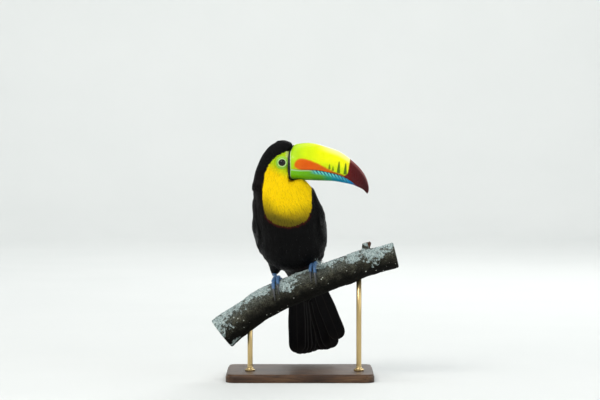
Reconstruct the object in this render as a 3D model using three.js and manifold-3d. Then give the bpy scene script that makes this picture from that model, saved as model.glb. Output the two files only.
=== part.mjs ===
// Keel-billed toucan, life size, as a still museum model. It sits upright on a cut length of branch,
// breast to the front and head turned to its left, so that the bill shows in profile.
// A flat base with two short rods holds the branch.
//
// Millimetres. X runs to the bird's left, Y to its back and Z up.
// The origin is the centre of the base's underside.

import * as THREE from "three";
import { mergeVertices } from "three/addons/utils/BufferGeometryUtils.js";
import Module from "manifold-3d";

const wasm = await Module();
wasm.setup();

// ---------------------------------------------------------------- driving sizes

const GAP = 0.3; // clearance between two solids that meet
const BASE = { width: 230, depth: 176, height: 13, corner: 16, bevel: 2 };
const PERCH = { y: -26, lift: 12 }; // moves the bird and its branch off the base's centre
const ROD = { radius: 4, collar: 8, collarHeight: 4, atX: [-78, 92] };

const HEAD_YAW = THREE.MathUtils.degToRad(6); // past a square profile, towards the front
const BILL_BASE = new THREE.Vector3(-15.6, -14, 324);
const EYE = { radius: 6.3, back: 11, up: 3.2, side: 17.1 };
// The lid's section, as [radius, height over the eye's centre].
const LID = [[6.7, 0.8], [5.6, 3.7], [6.5, 4.8], [8.2, 3.7], [8.2, 0.8]];

const BRANCH_SIDES = 16;
const TOE_RADIUS = 3.1;
const FEET = { right: -26, left: 31 }; // where each foot grips, along X

// ---------------------------------------------------------------- small tools

const vec = (x, y, z) => new THREE.Vector3(x, y, z);
const lerp = THREE.MathUtils.lerp;
const radians = THREE.MathUtils.degToRad;

function smoothCurve(points) {
  return new THREE.CatmullRomCurve3(points.map((p) => vec(...p)), false, "centripetal");
}

// A value that runs smoothly through pairs [place, value] as the place grows.
function along(pairs, place) {
  const last = pairs.length - 1;
  if (place <= pairs[0][0]) return pairs[0][1];
  if (place >= pairs[last][0]) return pairs[last][1];
  const next = pairs.findIndex(([at]) => at > place);
  const [a, low] = pairs[next - 1];
  const [b, high] = pairs[next];
  const share = (place - a) / (b - a);
  const slope = (i) => {
    const before = pairs[Math.max(i - 1, 0)];
    const after = pairs[Math.min(i + 1, last)];
    return (after[1] - before[1]) / (after[0] - before[0]);
  };
  const s2 = share * share;
  const s3 = s2 * share;
  return (
    (2 * s3 - 3 * s2 + 1) * low +
    (s3 - 2 * s2 + share) * (b - a) * slope(next - 1) +
    (3 * s2 - 2 * s3) * high +
    (s3 - s2) * (b - a) * slope(next)
  );
}

// A closed solid through rings of the same number of points, each end closed by a fan.
function loft(rings) {
  const count = rings[0].length;
  const points = rings.flat();
  const faces = [];
  for (let i = 0; i + 1 < rings.length; i++) {
    for (let j = 0; j < count; j++) {
      const k = (j + 1) % count;
      const [a, b, c, d] = [i * count + j, i * count + k, (i + 1) * count + k, (i + 1) * count + j];
      faces.push(a, b, c, a, c, d);
    }
  }
  for (const [ring, first] of [[rings[0], 0], [rings.at(-1), (rings.length - 1) * count]]) {
    const centre = ring.reduce((sum, p) => sum.add(p), vec(0, 0, 0)).divideScalar(count);
    const hub = points.push(centre) - 1;
    for (let j = 0; j < count; j++) {
      const k = (j + 1) % count;
      if (first === 0) faces.push(hub, k, j);
      else faces.push(hub, first + j, first + k);
    }
  }
  const geometry = new THREE.BufferGeometry().setFromPoints(points);
  geometry.setIndex(faces);
  return solid(geometry);
}

// A manifold solid from a three.js geometry, whichever way its faces run.
function solid(geometry) {
  const bare = geometry.clone();
  bare.deleteAttribute("normal");
  bare.deleteAttribute("uv");
  const merged = mergeVertices(bare, 1e-4);
  const make = (triVerts) =>
    new wasm.Manifold(
      new wasm.Mesh({ numProp: 3, vertProperties: merged.attributes.position.array, triVerts }),
    );
  const made = make(new Uint32Array(merged.index.array));
  if (made.volume() > 0) return made;
  const turned = new Uint32Array(merged.index.array);
  for (let i = 0; i < turned.length; i += 3) [turned[i + 1], turned[i + 2]] = [turned[i + 2], turned[i + 1]];
  return make(turned);
}

function unite(pieces) {
  return pieces.reduce((whole, piece) => whole.add(piece));
}

function geometryOf(manifold) {
  const mesh = manifold.getMesh();
  const geometry = new THREE.BufferGeometry();
  geometry.setAttribute("position", new THREE.BufferAttribute(mesh.vertProperties, 3));
  geometry.setIndex(new THREE.BufferAttribute(mesh.triVerts, 1));
  geometry.computeVertexNormals();
  return geometry;
}

// The largest body of a cut solid, without the crumbs.
function largest(manifold) {
  return manifold.decompose().reduce((best, body) => (body.volume() > best.volume() ? body : best));
}

const bird = new THREE.Group();
bird.position.set(0, PERCH.y, PERCH.lift);

function addTo(group, name, manifold, colour, roughness = 0.8, metalness = 0) {
  if (manifold.isEmpty()) throw new Error(`${name} is empty`);
  const material = new THREE.MeshStandardMaterial({ color: colour, roughness, metalness });
  const mesh = new THREE.Mesh(geometryOf(largest(manifold)), material);
  mesh.name = name;
  group.add(mesh);
  return mesh;
}

const BLACK = 0x0a0a0c;
const YELLOW = 0xf6cf08;

// ---------------------------------------------------------------- head frame

const forward = vec(Math.cos(HEAD_YAW), -Math.sin(HEAD_YAW), 0);
const leftward = vec(Math.sin(HEAD_YAW), Math.cos(HEAD_YAW), 0);

// A point by its distances from the bill's base: ahead, to the head's left and up.
function fromBill(ahead, side, up) {
  return BILL_BASE.clone().addScaledVector(forward, ahead).addScaledVector(leftward, side).add(vec(0, 0, up));
}

// ---------------------------------------------------------------- bill

// Side outlines of the bill, as [ahead, up] from its base: ridge, mouth line and underside.
const RIDGE = smoothCurve([
  [0, 0, 24.5], [6, 0, 30], [18, 0, 33], [36, 0, 33], [57, 0, 27.3], [76, 0, 20.6],
  [94, 0, 8.6], [108, 0, -4.2], [117.5, 0, -17.5], [122.4, 0, -31.5], [122.6, 0, -41.5], [120.6, 0, -45.4],
]);
const MOUTH = smoothCurve([
  [0, 0, -6.2], [16, 0, -7.8], [34, 0, -7.9], [50, 0, -9.6], [64, 0, -12.6], [77, 0, -16.2],
  [88, 0, -20.8], [98, 0, -27.4], [107, 0, -34], [114.5, 0, -39], [119, 0, -43.6], [120.6, 0, -45.4],
]);
const UNDERSIDE = smoothCurve([
  [0, 0, -24.6], [20, 0, -24.2], [44, 0, -25], [68, 0, -25.9], [84, 0, -28.4], [98, 0, -31.4], [101.4, 0, -32.6],
]);
const BILL_HALF_WIDTH = [[0, 19.5], [12, 19], [40, 15.4], [70, 11], [95, 7.4], [112, 4.4], [119, 2.3], [123, 0.9]];
const BILL_STATIONS = 20;
const LOWER_STATIONS = 13;
const LOWER_REACH = 0.775; // share of the mouth line that the lower half runs along

// One section of the upper half, from its left mouth edge over the ridge to the right one.
function upperSection(t, grow) {
  const low = MOUTH.getPoint(t);
  const high = RIDGE.getPoint(t);
  const width = along(BILL_HALF_WIDTH, (low.x + high.x) / 2) + grow;
  const lift = high.clone().sub(low);
  const steps = 8;
  const points = [];
  for (let i = -steps; i <= steps; i++) {
    const height = 1 - Math.abs(i) / steps;
    const bulge = 0.95 + 0.08 * Math.sin(Math.PI * Math.min(height * 1.4, 1));
    const side = Math.sign(i) * width * bulge * Math.pow(1 - Math.pow(height, 2.3), 0.66);
    const at = low.clone().addScaledVector(lift, height * (1 + grow / Math.max(lift.length(), 1)));
    points.push(fromBill(at.x, side, at.z));
  }
  return points;
}

function upperBill(grow = 0) {
  const rings = [];
  for (let i = 0; i <= BILL_STATIONS; i++) rings.push(upperSection(0.992 * Math.pow(i / BILL_STATIONS, 0.9), grow));
  return loft(rings);
}

function lowerSection(share, grow) {
  const high = MOUTH.getPoint(share * LOWER_REACH);
  const low = UNDERSIDE.getPoint(share);
  high.z += grow - (grow ? 0 : GAP);
  const drop = low.clone().sub(high);
  const taper = Math.sqrt(1 - Math.pow(share, 6)) * 0.94 + 0.05;
  const width = (along(BILL_HALF_WIDTH, high.x) * 0.95 + grow) * taper;
  const steps = 6;
  const points = [];
  for (let i = -steps; i <= steps; i++) {
    const depth = 1 - Math.abs(i) / steps;
    const side = Math.sign(i) * width * Math.pow(1 - Math.pow(depth, 2.6), 0.6);
    const at = high.clone().addScaledVector(drop, depth * (1 + grow / Math.max(drop.length(), 1)));
    points.push(fromBill(at.x, side, at.z));
  }
  return points;
}

function lowerBill(grow = 0) {
  const rings = [];
  for (let i = 0; i <= LOWER_STATIONS; i++) rings.push(lowerSection(i / LOWER_STATIONS, grow));
  return loft(rings);
}

// ---------------------------------------------------------------- masses of head, neck and trunk

// Rounded masses that run into one another. Each has a centre, half sizes across, front to back
// and up, with its top tilted forward and leaned to the bird's left by so many degrees.
const MASSES = {
  forehead: { at: [-26, -12, 338], half: [20, 17.5, 22], tilt: 0, lean: 0 },
  skull: { at: [-35, -11, 327], half: [23, 21.5, 21], tilt: 0, lean: 0 },
  nape: { at: [-52, -5, 308], half: [18, 21, 30], tilt: 4, lean: 20 },
  throat: { at: [-24, -15, 301], half: [20, 18, 16], tilt: 0, lean: 0 },
  bib: { at: [-26, -12, 277], half: [42, 31, 33], tilt: 6, lean: 0 },
  hindneck: { at: [-31, 10, 270], half: [44, 27, 41], tilt: 24, lean: 0 },
  breast: { at: [-18, -6, 246], half: [49, 36, 42], tilt: 18, lean: 0 },
  trunk: { at: [-16.5, 19, 217], half: [52.5, 42, 62], tilt: 42, lean: -6 },
  belly: { at: [-13, 18, 194], half: [48, 36, 38], tilt: 42, lean: -6 },
  vent: { at: [-2, 46, 174], half: [28, 18, 42], tilt: 40, lean: -8 },
  rump: { at: [3, 60, 170], half: [25, 14, 46], tilt: 32, lean: -8 },
  coverts: { at: [10, 78, 134], half: [22, 8.5, 50], tilt: 23, lean: -9 },
};
const BLEND = 5; // how softly the masses run together

const masses = Object.values(MASSES).map(({ at, half, tilt, lean }) => {
  const turn = new THREE.Euler(radians(tilt), radians(lean), 0, "XYZ");
  const place = new THREE.Matrix4().makeRotationFromEuler(turn).setPosition(vec(...at));
  return { toLocal: place.invert(), half };
});

// Distance from the plumage's surface, about: below 0 inside it.
function depthAt(point) {
  let sum = 0;
  for (const { toLocal, half } of masses) {
    const p = point.clone().applyMatrix4(toLocal);
    const near = Math.hypot(p.x / half[0], p.y / half[1], p.z / half[2]);
    const steep = Math.hypot(p.x / half[0] ** 2, p.y / half[1] ** 2, p.z / half[2] ** 2);
    const distance = steep > 1e-9 ? (near * (near - 1)) / steep : -Math.min(...half);
    sum += Math.exp(-distance / BLEND);
  }
  return -BLEND * Math.log(Math.max(sum, 1e-30));
}

// The line that the body's rings are threaded on, from the crown to the root of the tail and on
// down the tail.
const SPINE = smoothCurve([
  [-35, -11, 362], [-37, -11, 332], [-33, -8, 303], [-26, -3, 272], [-19, 8, 240],
  [-12, 27, 210], [-5, 48, 184], [5, 65, 160], [10, 77, 132], [16, 89, 100],
]);
const BODY_SIDES = 26;
const STEP = 0.034; // from one ring to the next, along the whole spine
const CUTS = { crown: 0.004, chin: 0.4 - 5 * STEP, shoulder: 0.4, tailEnd: 0.4 + 16 * STEP };

// A place on the spine with its own axes: side to the bird's left, back towards its back.
function spineFrame(u) {
  const centre = SPINE.getPointAt(u);
  const down = SPINE.getTangentAt(u);
  const side = vec(1, 0, 0).addScaledVector(down, -down.x).normalize();
  const back = side.clone().cross(down).normalize();
  return { centre, down, side, back };
}

function surfaceRadius(centre, direction) {
  const farthest = 110;
  let outside = farthest;
  while (outside > 1 && depthAt(centre.clone().addScaledVector(direction, outside)) > 0) outside -= 3;
  let inside = Math.max(outside, 0.5);
  outside = inside + 3;
  for (let i = 0; i < 14; i++) {
    const middle = (inside + outside) / 2;
    if (depthAt(centre.clone().addScaledVector(direction, middle)) > 0) outside = middle;
    else inside = middle;
  }
  return inside;
}

function outward(frame, angle) {
  return frame.side.clone().multiplyScalar(Math.cos(angle)).addScaledVector(frame.back, Math.sin(angle));
}

function bodyRing(u, grow = 0) {
  const frame = spineFrame(u);
  const ring = [];
  for (let i = 0; i < BODY_SIDES; i++) {
    const direction = outward(frame, (i / BODY_SIDES) * 2 * Math.PI);
    const radius = surfaceRadius(frame.centre, direction) + grow;
    ring.push(frame.centre.clone().addScaledVector(direction, radius));
  }
  return ring;
}

// A length of the body between two places on the spine. ease packs the rings towards the start.
function bodyLength(from, to, count, ease = 1, grow = 0) {
  const rings = [];
  for (let i = 0; i <= count; i++) rings.push(bodyRing(lerp(from, to, Math.pow(i / count, ease)), grow));
  return loft(rings);
}

const halfGap = (GAP / 2) / SPINE.getLength();
const billRoom = upperBill(GAP).add(lowerBill(GAP));

// Everything ahead of the bill's base, for cutting the head off square there.
function aheadOfBill() {
  const size = 160;
  const box = new THREE.BoxGeometry(size, size, size);
  box.rotateZ(-HEAD_YAW);
  const centre = fromBill(size / 2 - GAP, 0, 0);
  box.translate(centre.x, centre.y, centre.z);
  return solid(box);
}

function eyeCentre(sign) {
  return fromBill(-EYE.back, sign * EYE.side, EYE.up);
}

function eyeball(sign, grow = 0) {
  const ball = new THREE.SphereGeometry(EYE.radius + grow, 12, 7);
  const at = eyeCentre(sign);
  ball.rotateX(Math.PI / 2);
  ball.translate(at.x, at.y, at.z);
  return solid(ball);
}

// Turns a section round the eye's own axis, out of the side of the head.
function roundEye(section, sign) {
  const ring = new THREE.LatheGeometry(section.map(([r, h]) => new THREE.Vector2(r, h)), 12);
  ring.rotateX(sign > 0 ? 0 : Math.PI);
  ring.rotateZ(-HEAD_YAW);
  const at = eyeCentre(sign);
  ring.translate(at.x, at.y, at.z);
  return solid(ring);
}

function makeHead() {
  const whole = bodyLength(CUTS.crown, CUTS.chin - halfGap, 12, 1.5);
  const rim = Math.max(...LID.map(([radius]) => radius)) + GAP;
  const lidRoom = [[0, 0.5], [rim, 0.5], [rim, 9], [0, 9]];
  const eyeRoom = unite([-1, 1].flatMap((sign) => [eyeball(sign, GAP), roundEye(lidRoom, sign)]));
  return whole.subtract(aheadOfBill()).subtract(eyeRoom);
}

function makeNeck() {
  return bodyLength(CUTS.chin + halfGap, CUTS.shoulder - halfGap, 5).subtract(billRoom);
}

// ---------------------------------------------------------------- wings

// A folded wing, down the spine from its shoulder to its tip: angle round the body (0 at the side,
// 90 at the back), half height round the body, thickness and lift off the surface.
const WING = {
  steps: [-3, 14], // rings before and after the shoulder's cut
  angle: [[0.3, 4], [0.45, 12], [0.6, 28], [0.75, 52], [0.88, 72]],
  half: [[0.295, 6], [0.335, 18], [0.42, 31], [0.52, 38], [0.62, 36], [0.72, 26], [0.81, 15], [0.85, 9], [0.88, 4]],
  thick: [[0.3, 1.8], [0.37, 4], [0.5, 6], [0.7, 4.8], [0.82, 3.4], [0.88, 2]],
  lift: [[0.3, 0], [0.7, 0], [0.88, 2]],
  edge: 1.8,
  backGap: 0.5,
};
const WING_ACROSS = 7;

function wingSection(u, sign, grow) {
  const frame = spineFrame(u);
  const around = (angle) => outward(frame, sign > 0 ? angle : Math.PI - angle);
  const middle = radians(along(WING.angle, u));
  const half = along(WING.half, u) + grow;
  const thick = along(WING.thick, u);
  const reach = surfaceRadius(frame.centre, around(middle));
  const low = middle - half / reach;
  const high = Math.min(middle + half / reach, Math.PI / 2 - (WING.backGap - grow) / reach);
  const outer = [];
  const inner = [];
  for (let i = 0; i <= WING_ACROSS; i++) {
    const share = lerp(-1, 1, i / WING_ACROSS);
    const direction = around(lerp(low, high, i / WING_ACROSS));
    const skin = surfaceRadius(frame.centre, direction) + along(WING.lift, u);
    const swell = WING.edge + (thick - WING.edge) * Math.sqrt(1 - share * share);
    outer.push(frame.centre.clone().addScaledVector(direction, skin + swell + grow));
    inner.push(frame.centre.clone().addScaledVector(direction, skin - 1.5 - grow));
  }
  return [...outer, ...inner.reverse()];
}

function wingBlade(sign, grow = 0) {
  const [from, to] = WING.steps;
  const rings = [];
  for (let i = from; i <= to; i++) rings.push(wingSection(CUTS.shoulder + i * STEP, sign, grow));
  return loft(rings);
}

// ---------------------------------------------------------------- tail

// Ten feathers fanned from the tail's root, the middle pair on top and the outer ones beneath.
// The fan leans to the bird's left and its outermost feather on that side stands clear.
const TAIL = { at: 0.765, length: 158, feathers: 10, spread: 2.5, rootHalf: 9, halfWidth: 13.5, thick: 1.5, step: 0.9 };
const TAIL_PITCH = radians(68); // below level
const TAIL_FAN = [-10, -8.6, -6.8, -4.8, -2.6, -0.4, 1.8, 4.2, 7, 11.4]; // degrees, right to left
const TAIL_REACH = [0.98, 0.995, 1, 1, 1, 0.995, 0.995, 0.985, 0.96, 0.9];
const TAIL_LEAN = radians(10);

function tailFeather(index) {
  const reach = TAIL.length * TAIL_REACH[index];
  const [root, wide] = [TAIL.rootHalf, TAIL.halfWidth];
  const outline = new THREE.Shape();
  outline.moveTo(-root, 0);
  outline.lineTo(root, 0);
  outline.lineTo(wide, reach * 0.6);
  outline.lineTo(wide, reach * 0.86);
  outline.bezierCurveTo(wide, reach * 0.95, wide * 0.62, reach, 0, reach);
  outline.bezierCurveTo(-wide * 0.62, reach, -wide, reach * 0.95, -wide, reach * 0.86);
  outline.lineTo(-wide, reach * 0.6);
  outline.lineTo(-root, 0);
  const blade = new THREE.ExtrudeGeometry(outline, { depth: TAIL.thick, bevelEnabled: false, curveSegments: 4 });
  blade.rotateZ(-radians(TAIL_FAN[index]));
  const place = index - (TAIL.feathers - 1) / 2;
  blade.translate(place * TAIL.spread, 0, -Math.abs(place) * TAIL.step);
  return solid(blade);
}

// Turns the flat fan, drawn along +Y with its top to +Z, down behind the trunk.
function hangTail(fan) {
  const root = spineFrame(TAIL.at);
  const place = new THREE.Matrix4()
    .makeTranslation(...root.centre.clone().addScaledVector(root.down, GAP).toArray())
    .multiply(new THREE.Matrix4().makeRotationY(-TAIL_LEAN))
    .multiply(new THREE.Matrix4().makeRotationX(-TAIL_PITCH));
  return fan.transform(place.toArray());
}

function makeTail(trunkRoom) {
  const fan = unite(Array.from({ length: TAIL.feathers }, (_, i) => tailFeather(i)));
  return hangTail(fan).subtract(trunkRoom);
}

// ---------------------------------------------------------------- perch

// The branch's axis and its radius, by X. It climbs to the bird's left and thins that way.
const BRANCH_AXIS = smoothCurve([
  [-122, 0, 59], [-90, 0, 84], [-42, 0, 113.5], [25, 0, 141], [73, 0, 159.5], [104, 0, 170.5], [150, 0, 181.5],
]);
const BRANCH_RADIUS = [[-122, 25.2], [-42, 23.3], [60, 21.6], [150, 20.2]];
const KNOB = { u: 0.855, height: 8, radius: 5.5 };
const SMOOTH_NEAR_FEET = 16; // the bark's lumps die out this near to a foot's middle

function branchFrame(u) {
  const centre = BRANCH_AXIS.getPointAt(u);
  const ahead = BRANCH_AXIS.getTangentAt(u);
  const up = vec(-ahead.z, 0, ahead.x);
  return { centre, ahead, up, radius: along(BRANCH_RADIUS, centre.x) };
}

// The branch's place under a given X.
function branchAt(x) {
  let [low, high] = [0, 1];
  for (let i = 0; i < 24; i++) {
    const middle = (low + high) / 2;
    if (BRANCH_AXIS.getPointAt(middle).x < x) low = middle;
    else high = middle;
  }
  return branchFrame(low);
}

// Direction round the branch: 0 faces front, 90 up and 180 back.
function roundBranch(frame, angle) {
  return vec(0, -1, 0).multiplyScalar(Math.cos(angle)).addScaledVector(frame.up, Math.sin(angle));
}

function barkLump(x, angle) {
  const nearest = Math.min(Math.abs(x - FEET.right), Math.abs(x - FEET.left));
  const room = THREE.MathUtils.clamp((nearest - SMOOTH_NEAR_FEET) / 18, 0, 1);
  const wave = 0.9 * Math.sin(x / 17 + 2 * angle) + 0.6 * Math.sin(x / 8.3 - 3 * angle + 1) + 0.5 * Math.sin(x / 31 + angle);
  return room * wave;
}

function makeBranch(grow = 0) {
  const count = 19;
  const rings = [];
  for (let i = 0; i <= count; i++) {
    const frame = branchFrame(i / count);
    const ring = [];
    for (let j = 0; j < BRANCH_SIDES; j++) {
      const angle = (j / BRANCH_SIDES) * 2 * Math.PI;
      const radius = frame.radius + barkLump(frame.centre.x, angle) + grow;
      ring.push(frame.centre.clone().addScaledVector(roundBranch(frame, angle), radius));
    }
    rings.push(ring);
  }
  return loft(rings).add(makeKnob());
}

// The stub of a twig on the upper side.
function makeKnob() {
  const frame = branchFrame(KNOB.u);
  const rings = [[-6, 1.5], [0, 1.15], [4, 0.95], [KNOB.height, 0.85], [KNOB.height + 1.5, 0.45]].map(([rise, share]) => {
    const ring = [];
    for (let j = 0; j < 10; j++) {
      const a = (j / 10) * 2 * Math.PI;
      const middle = frame.centre.clone().addScaledVector(frame.up, frame.radius + rise).addScaledVector(frame.ahead, rise * 0.25);
      const across = frame.ahead.clone().multiplyScalar(Math.cos(a)).add(vec(0, Math.sin(a), 0));
      ring.push(middle.addScaledVector(across, KNOB.radius * share));
    }
    return ring;
  });
  return loft(rings);
}

// ---------------------------------------------------------------- legs and feet

// A round bar along points, with its radius at each, and no lower than it should be at the ends.
function bar(points, radii, sides) {
  const rings = points.map((point, i) => {
    const before = points[Math.max(i - 1, 0)];
    const after = points[Math.min(i + 1, points.length - 1)];
    const heading = after.clone().sub(before).normalize();
    const helper = Math.abs(heading.y) > 0.8 ? vec(0, 0, 1) : vec(0, 1, 0);
    const u = helper.clone().cross(heading).normalize();
    const w = heading.clone().cross(u);
    return Array.from({ length: sides }, (_, j) => {
      const a = (j / sides) * 2 * Math.PI;
      return point.clone().addScaledVector(u, Math.cos(a) * radii[i]).addScaledVector(w, Math.sin(a) * radii[i]);
    });
  });
  return loft(rings);
}

// Toes, by number: where each starts and ends round the branch (degrees), how far it sits to the
// inner side along the branch at its root and tip, and how far round its claw reaches.
const TOES = {
  1: { from: 124, to: 166, root: 4.6, tip: 10, clawTo: 202, size: 0.84 },
  2: { from: 92, to: 44, root: -3.5, tip: -3.9, clawTo: 6, size: 0.95 },
  3: { from: 92, to: 33, root: 3.5, tip: 3.7, clawTo: -8, size: 1 },
  4: { from: 124, to: 184, root: -4.4, tip: -9, clawTo: 222, size: 0.97 },
};
const FRONT_TOE_DRIFT = 7; // front toes hang straight down the sloping branch
const PAD_ANGLE = radians(108); // the sole, a little behind the branch's top
const TOE_STEPS = 6;

function toePoint(frame, degrees, shift, rise) {
  const angle = radians(degrees);
  const radius = frame.radius + GAP + rise;
  return frame.centre.clone().addScaledVector(roundBranch(frame, angle), radius).addScaledVector(frame.ahead, shift);
}

function toeShift(side, toe, degrees) {
  const share = (degrees - toe.from) / (toe.to - toe.from);
  const drift = FRONT_TOE_DRIFT * Math.max(0, (90 - degrees) / 60);
  return side * lerp(toe.root, toe.tip, Math.min(share, 1)) - drift;
}

function makeToe(frame, side, toe, soleRoom) {
  const thick = TOE_RADIUS * toe.size;
  const points = [];
  const radii = [];
  for (let i = 0; i <= TOE_STEPS; i++) {
    const share = i / TOE_STEPS;
    const knuckle = 1 + 0.1 * Math.cos(share * 3 * 2 * Math.PI);
    const radius = thick * lerp(1.08, 0.82, share) * knuckle;
    const degrees = lerp(toe.from, toe.to, share);
    points.push(toePoint(frame, degrees, toeShift(side, toe, degrees), radius + 0.25));
    radii.push(radius);
  }
  return bar(points, radii, 6).subtract(soleRoom);
}

// A curved claw from a toe's end, high in the middle and with its point at the bark.
function makeClaw(frame, side, toe) {
  const turn = Math.sign(toe.clawTo - toe.to);
  const start = toe.to + turn * 1.6;
  const steps = 5;
  const points = [];
  const radii = [];
  for (let i = 0; i <= steps; i++) {
    const share = i / steps;
    const radius = lerp(2.1, 0.3, Math.pow(share, 1.3)) * toe.size;
    const arch = 1.5 * Math.sin(Math.PI * share) + 1.1 * (1 - share);
    const degrees = lerp(start, toe.clawTo, share);
    points.push(toePoint(frame, degrees, toeShift(side, toe, degrees), radius + arch));
    radii.push(radius);
  }
  return bar(points, radii, 6);
}

function ankleOf(frame) {
  return frame.centre.clone().add(vec(-2, 34, 0)).addScaledVector(frame.up, frame.radius + 9);
}

// The scaled shank with the sole that it stands on.
function makeShank(frame, grow = 0) {
  const sole = frame.centre.clone().addScaledVector(roundBranch(frame, PAD_ANGLE), frame.radius + GAP + 4.3);
  const ankle = ankleOf(frame);
  const stations = [[0, 3.9], [0.12, 3.9], [0.3, 3.1], [0.6, 2.9], [0.85, 3.3], [1, 3.7]];
  const points = stations.map(([share]) => sole.clone().lerp(ankle, share));
  const shank = bar(points, stations.map(([, radius]) => radius + grow), 8);
  const pad = new THREE.SphereGeometry(1, 10, 7);
  pad.scale(6.6 + grow, 5.6 + grow, 3.9 + grow);
  pad.rotateX(Math.PI / 2 - PAD_ANGLE);
  const slope = Math.atan2(frame.ahead.z, frame.ahead.x);
  pad.rotateY(-slope);
  pad.translate(sole.x, sole.y, sole.z);
  return shank.add(solid(pad));
}

// The feathered drumstick, from the belly to the ankle.
function makeThigh(frame, side) {
  const ankle = ankleOf(frame);
  const hip = vec(-8 + side * 25, 20, 186);
  const stations = [[0, 18], [0.3, 19], [0.6, 13], [0.82, 8.4], [0.96, 5.4], [1.02, 4.4]];
  const points = stations.map(([share]) => hip.clone().lerp(ankle, share));
  return bar(points, stations.map(([, radius]) => radius), 14);
}

// ---------------------------------------------------------------- display stand

function roundedPlate() {
  const [w, d, r] = [BASE.width / 2 - BASE.bevel, BASE.depth / 2 - BASE.bevel, BASE.corner];
  const plate = new THREE.Shape();
  plate.moveTo(-w + r, -d);
  plate.lineTo(w - r, -d);
  plate.absarc(w - r, -d + r, r, -Math.PI / 2, 0);
  plate.lineTo(w, d - r);
  plate.absarc(w - r, d - r, r, 0, Math.PI / 2);
  plate.lineTo(-w + r, d);
  plate.absarc(-w + r, d - r, r, Math.PI / 2, Math.PI);
  plate.lineTo(-w, -d + r);
  plate.absarc(-w + r, -d + r, r, Math.PI, 1.5 * Math.PI);
  const bevel = { bevelEnabled: true, bevelThickness: BASE.bevel, bevelSize: BASE.bevel, bevelSegments: 1 };
  const made = new THREE.ExtrudeGeometry(plate, { depth: BASE.height - 2 * BASE.bevel, curveSegments: 4, ...bevel });
  made.translate(0, 0, BASE.bevel);
  return solid(made);
}

// A rod with a collar at its foot, up to the branch's underside.
function makeRod(x, branch) {
  const foot = BASE.height + GAP - PERCH.lift;
  const profile = [[0, 0], [ROD.collar, 0], [ROD.collar, ROD.collarHeight - 1], [ROD.collar - 1, ROD.collarHeight], [ROD.radius, ROD.collarHeight]];
  const top = branchAt(x).centre.z - foot;
  const outline = [...profile, [ROD.radius, top], [0, top]].map(([r, z]) => new THREE.Vector2(r, z));
  const rod = new THREE.LatheGeometry(outline, 14);
  rod.rotateX(Math.PI / 2);
  rod.translate(x, 0, foot);
  return solid(rod).subtract(branch);
}

// ---------------------------------------------------------------- the whole

const SKIN_BLUE = 0x3f68ae;
const sides = { right: -1, left: 1 };
const branch = makeBranch();
const branchRoom = makeBranch(GAP);
const trunk = bodyLength(CUTS.shoulder + halfGap, CUTS.tailEnd, 16);
const trunkRoom = bodyLength(CUTS.chin, CUTS.tailEnd, 21, 1, GAP);

addTo(bird, "bill_upper", upperBill(), 0xe4ec10, 0.25);
addTo(bird, "bill_lower", lowerBill(), 0x6fb01c, 0.25);
addTo(bird, "head", makeHead(), BLACK);
addTo(bird, "neck", makeNeck(), YELLOW);
addTo(bird, "trunk", trunk.subtract(branchRoom), BLACK);
addTo(bird, "tail", makeTail(trunkRoom), BLACK);

for (const [name, side] of Object.entries(sides)) {
  const frame = branchAt(FEET[name]);
  const shankRoom = makeShank(frame, GAP);
  const thigh = makeThigh(frame, side).subtract(trunkRoom).subtract(shankRoom).subtract(wingBlade(side, GAP));
  addTo(bird, `wing_${name}`, wingBlade(side).subtract(trunkRoom), BLACK);
  addTo(bird, `thigh_${name}`, thigh.subtract(branchRoom), BLACK);
  addTo(bird, `shank_${name}`, makeShank(frame).subtract(trunkRoom), SKIN_BLUE, 0.6);
  addTo(bird, `eye_${name}`, eyeball(side), 0x101010, 0.1);
  addTo(bird, `lid_${name}`, roundEye([...LID, LID[0]], side), 0x7ec850, 0.6);
  for (const [number, toe] of Object.entries(TOES)) {
    addTo(bird, `toe_${name}_${number}`, makeToe(frame, side, toe, shankRoom), SKIN_BLUE, 0.6);
    addTo(bird, `claw_${name}_${number}`, makeClaw(frame, side, toe), 0x2a2a30, 0.4);
  }
}

addTo(bird, "branch", branch, 0x6d675c, 0.95);
ROD.atX.forEach((x, i) => addTo(bird, `stand_rod_${i + 1}`, makeRod(x, branch), 0xb0a890, 0.3, 0.9));

const toucan = new THREE.Group();
toucan.add(bird);
addTo(toucan, "stand_base", roundedPlate(), 0x3a2a1e, 0.5);

export default toucan;
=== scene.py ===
import math

import bmesh
import bpy
import numpy as np
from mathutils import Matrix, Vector, noise
from mathutils.bvhtree import BVHTree


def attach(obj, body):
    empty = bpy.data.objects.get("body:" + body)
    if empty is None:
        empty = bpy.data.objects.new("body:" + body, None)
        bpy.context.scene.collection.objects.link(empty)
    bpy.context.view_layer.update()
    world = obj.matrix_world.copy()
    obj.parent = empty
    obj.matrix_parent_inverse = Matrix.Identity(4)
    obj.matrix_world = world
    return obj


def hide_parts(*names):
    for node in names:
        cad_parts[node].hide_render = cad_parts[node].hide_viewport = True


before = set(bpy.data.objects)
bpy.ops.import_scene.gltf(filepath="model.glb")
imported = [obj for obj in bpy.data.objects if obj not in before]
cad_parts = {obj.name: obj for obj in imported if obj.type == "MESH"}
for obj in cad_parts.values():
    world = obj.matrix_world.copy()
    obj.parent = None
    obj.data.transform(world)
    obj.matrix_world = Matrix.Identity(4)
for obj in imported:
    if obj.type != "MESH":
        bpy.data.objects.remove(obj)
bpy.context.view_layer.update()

# ------------------------------------------------------------------ showroom
# A pale studio for the model: one seamless floor that sweeps up into its own wall all the way
# round, with large soft lamps over it. The camera stands level with the perch, a long way off.

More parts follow.
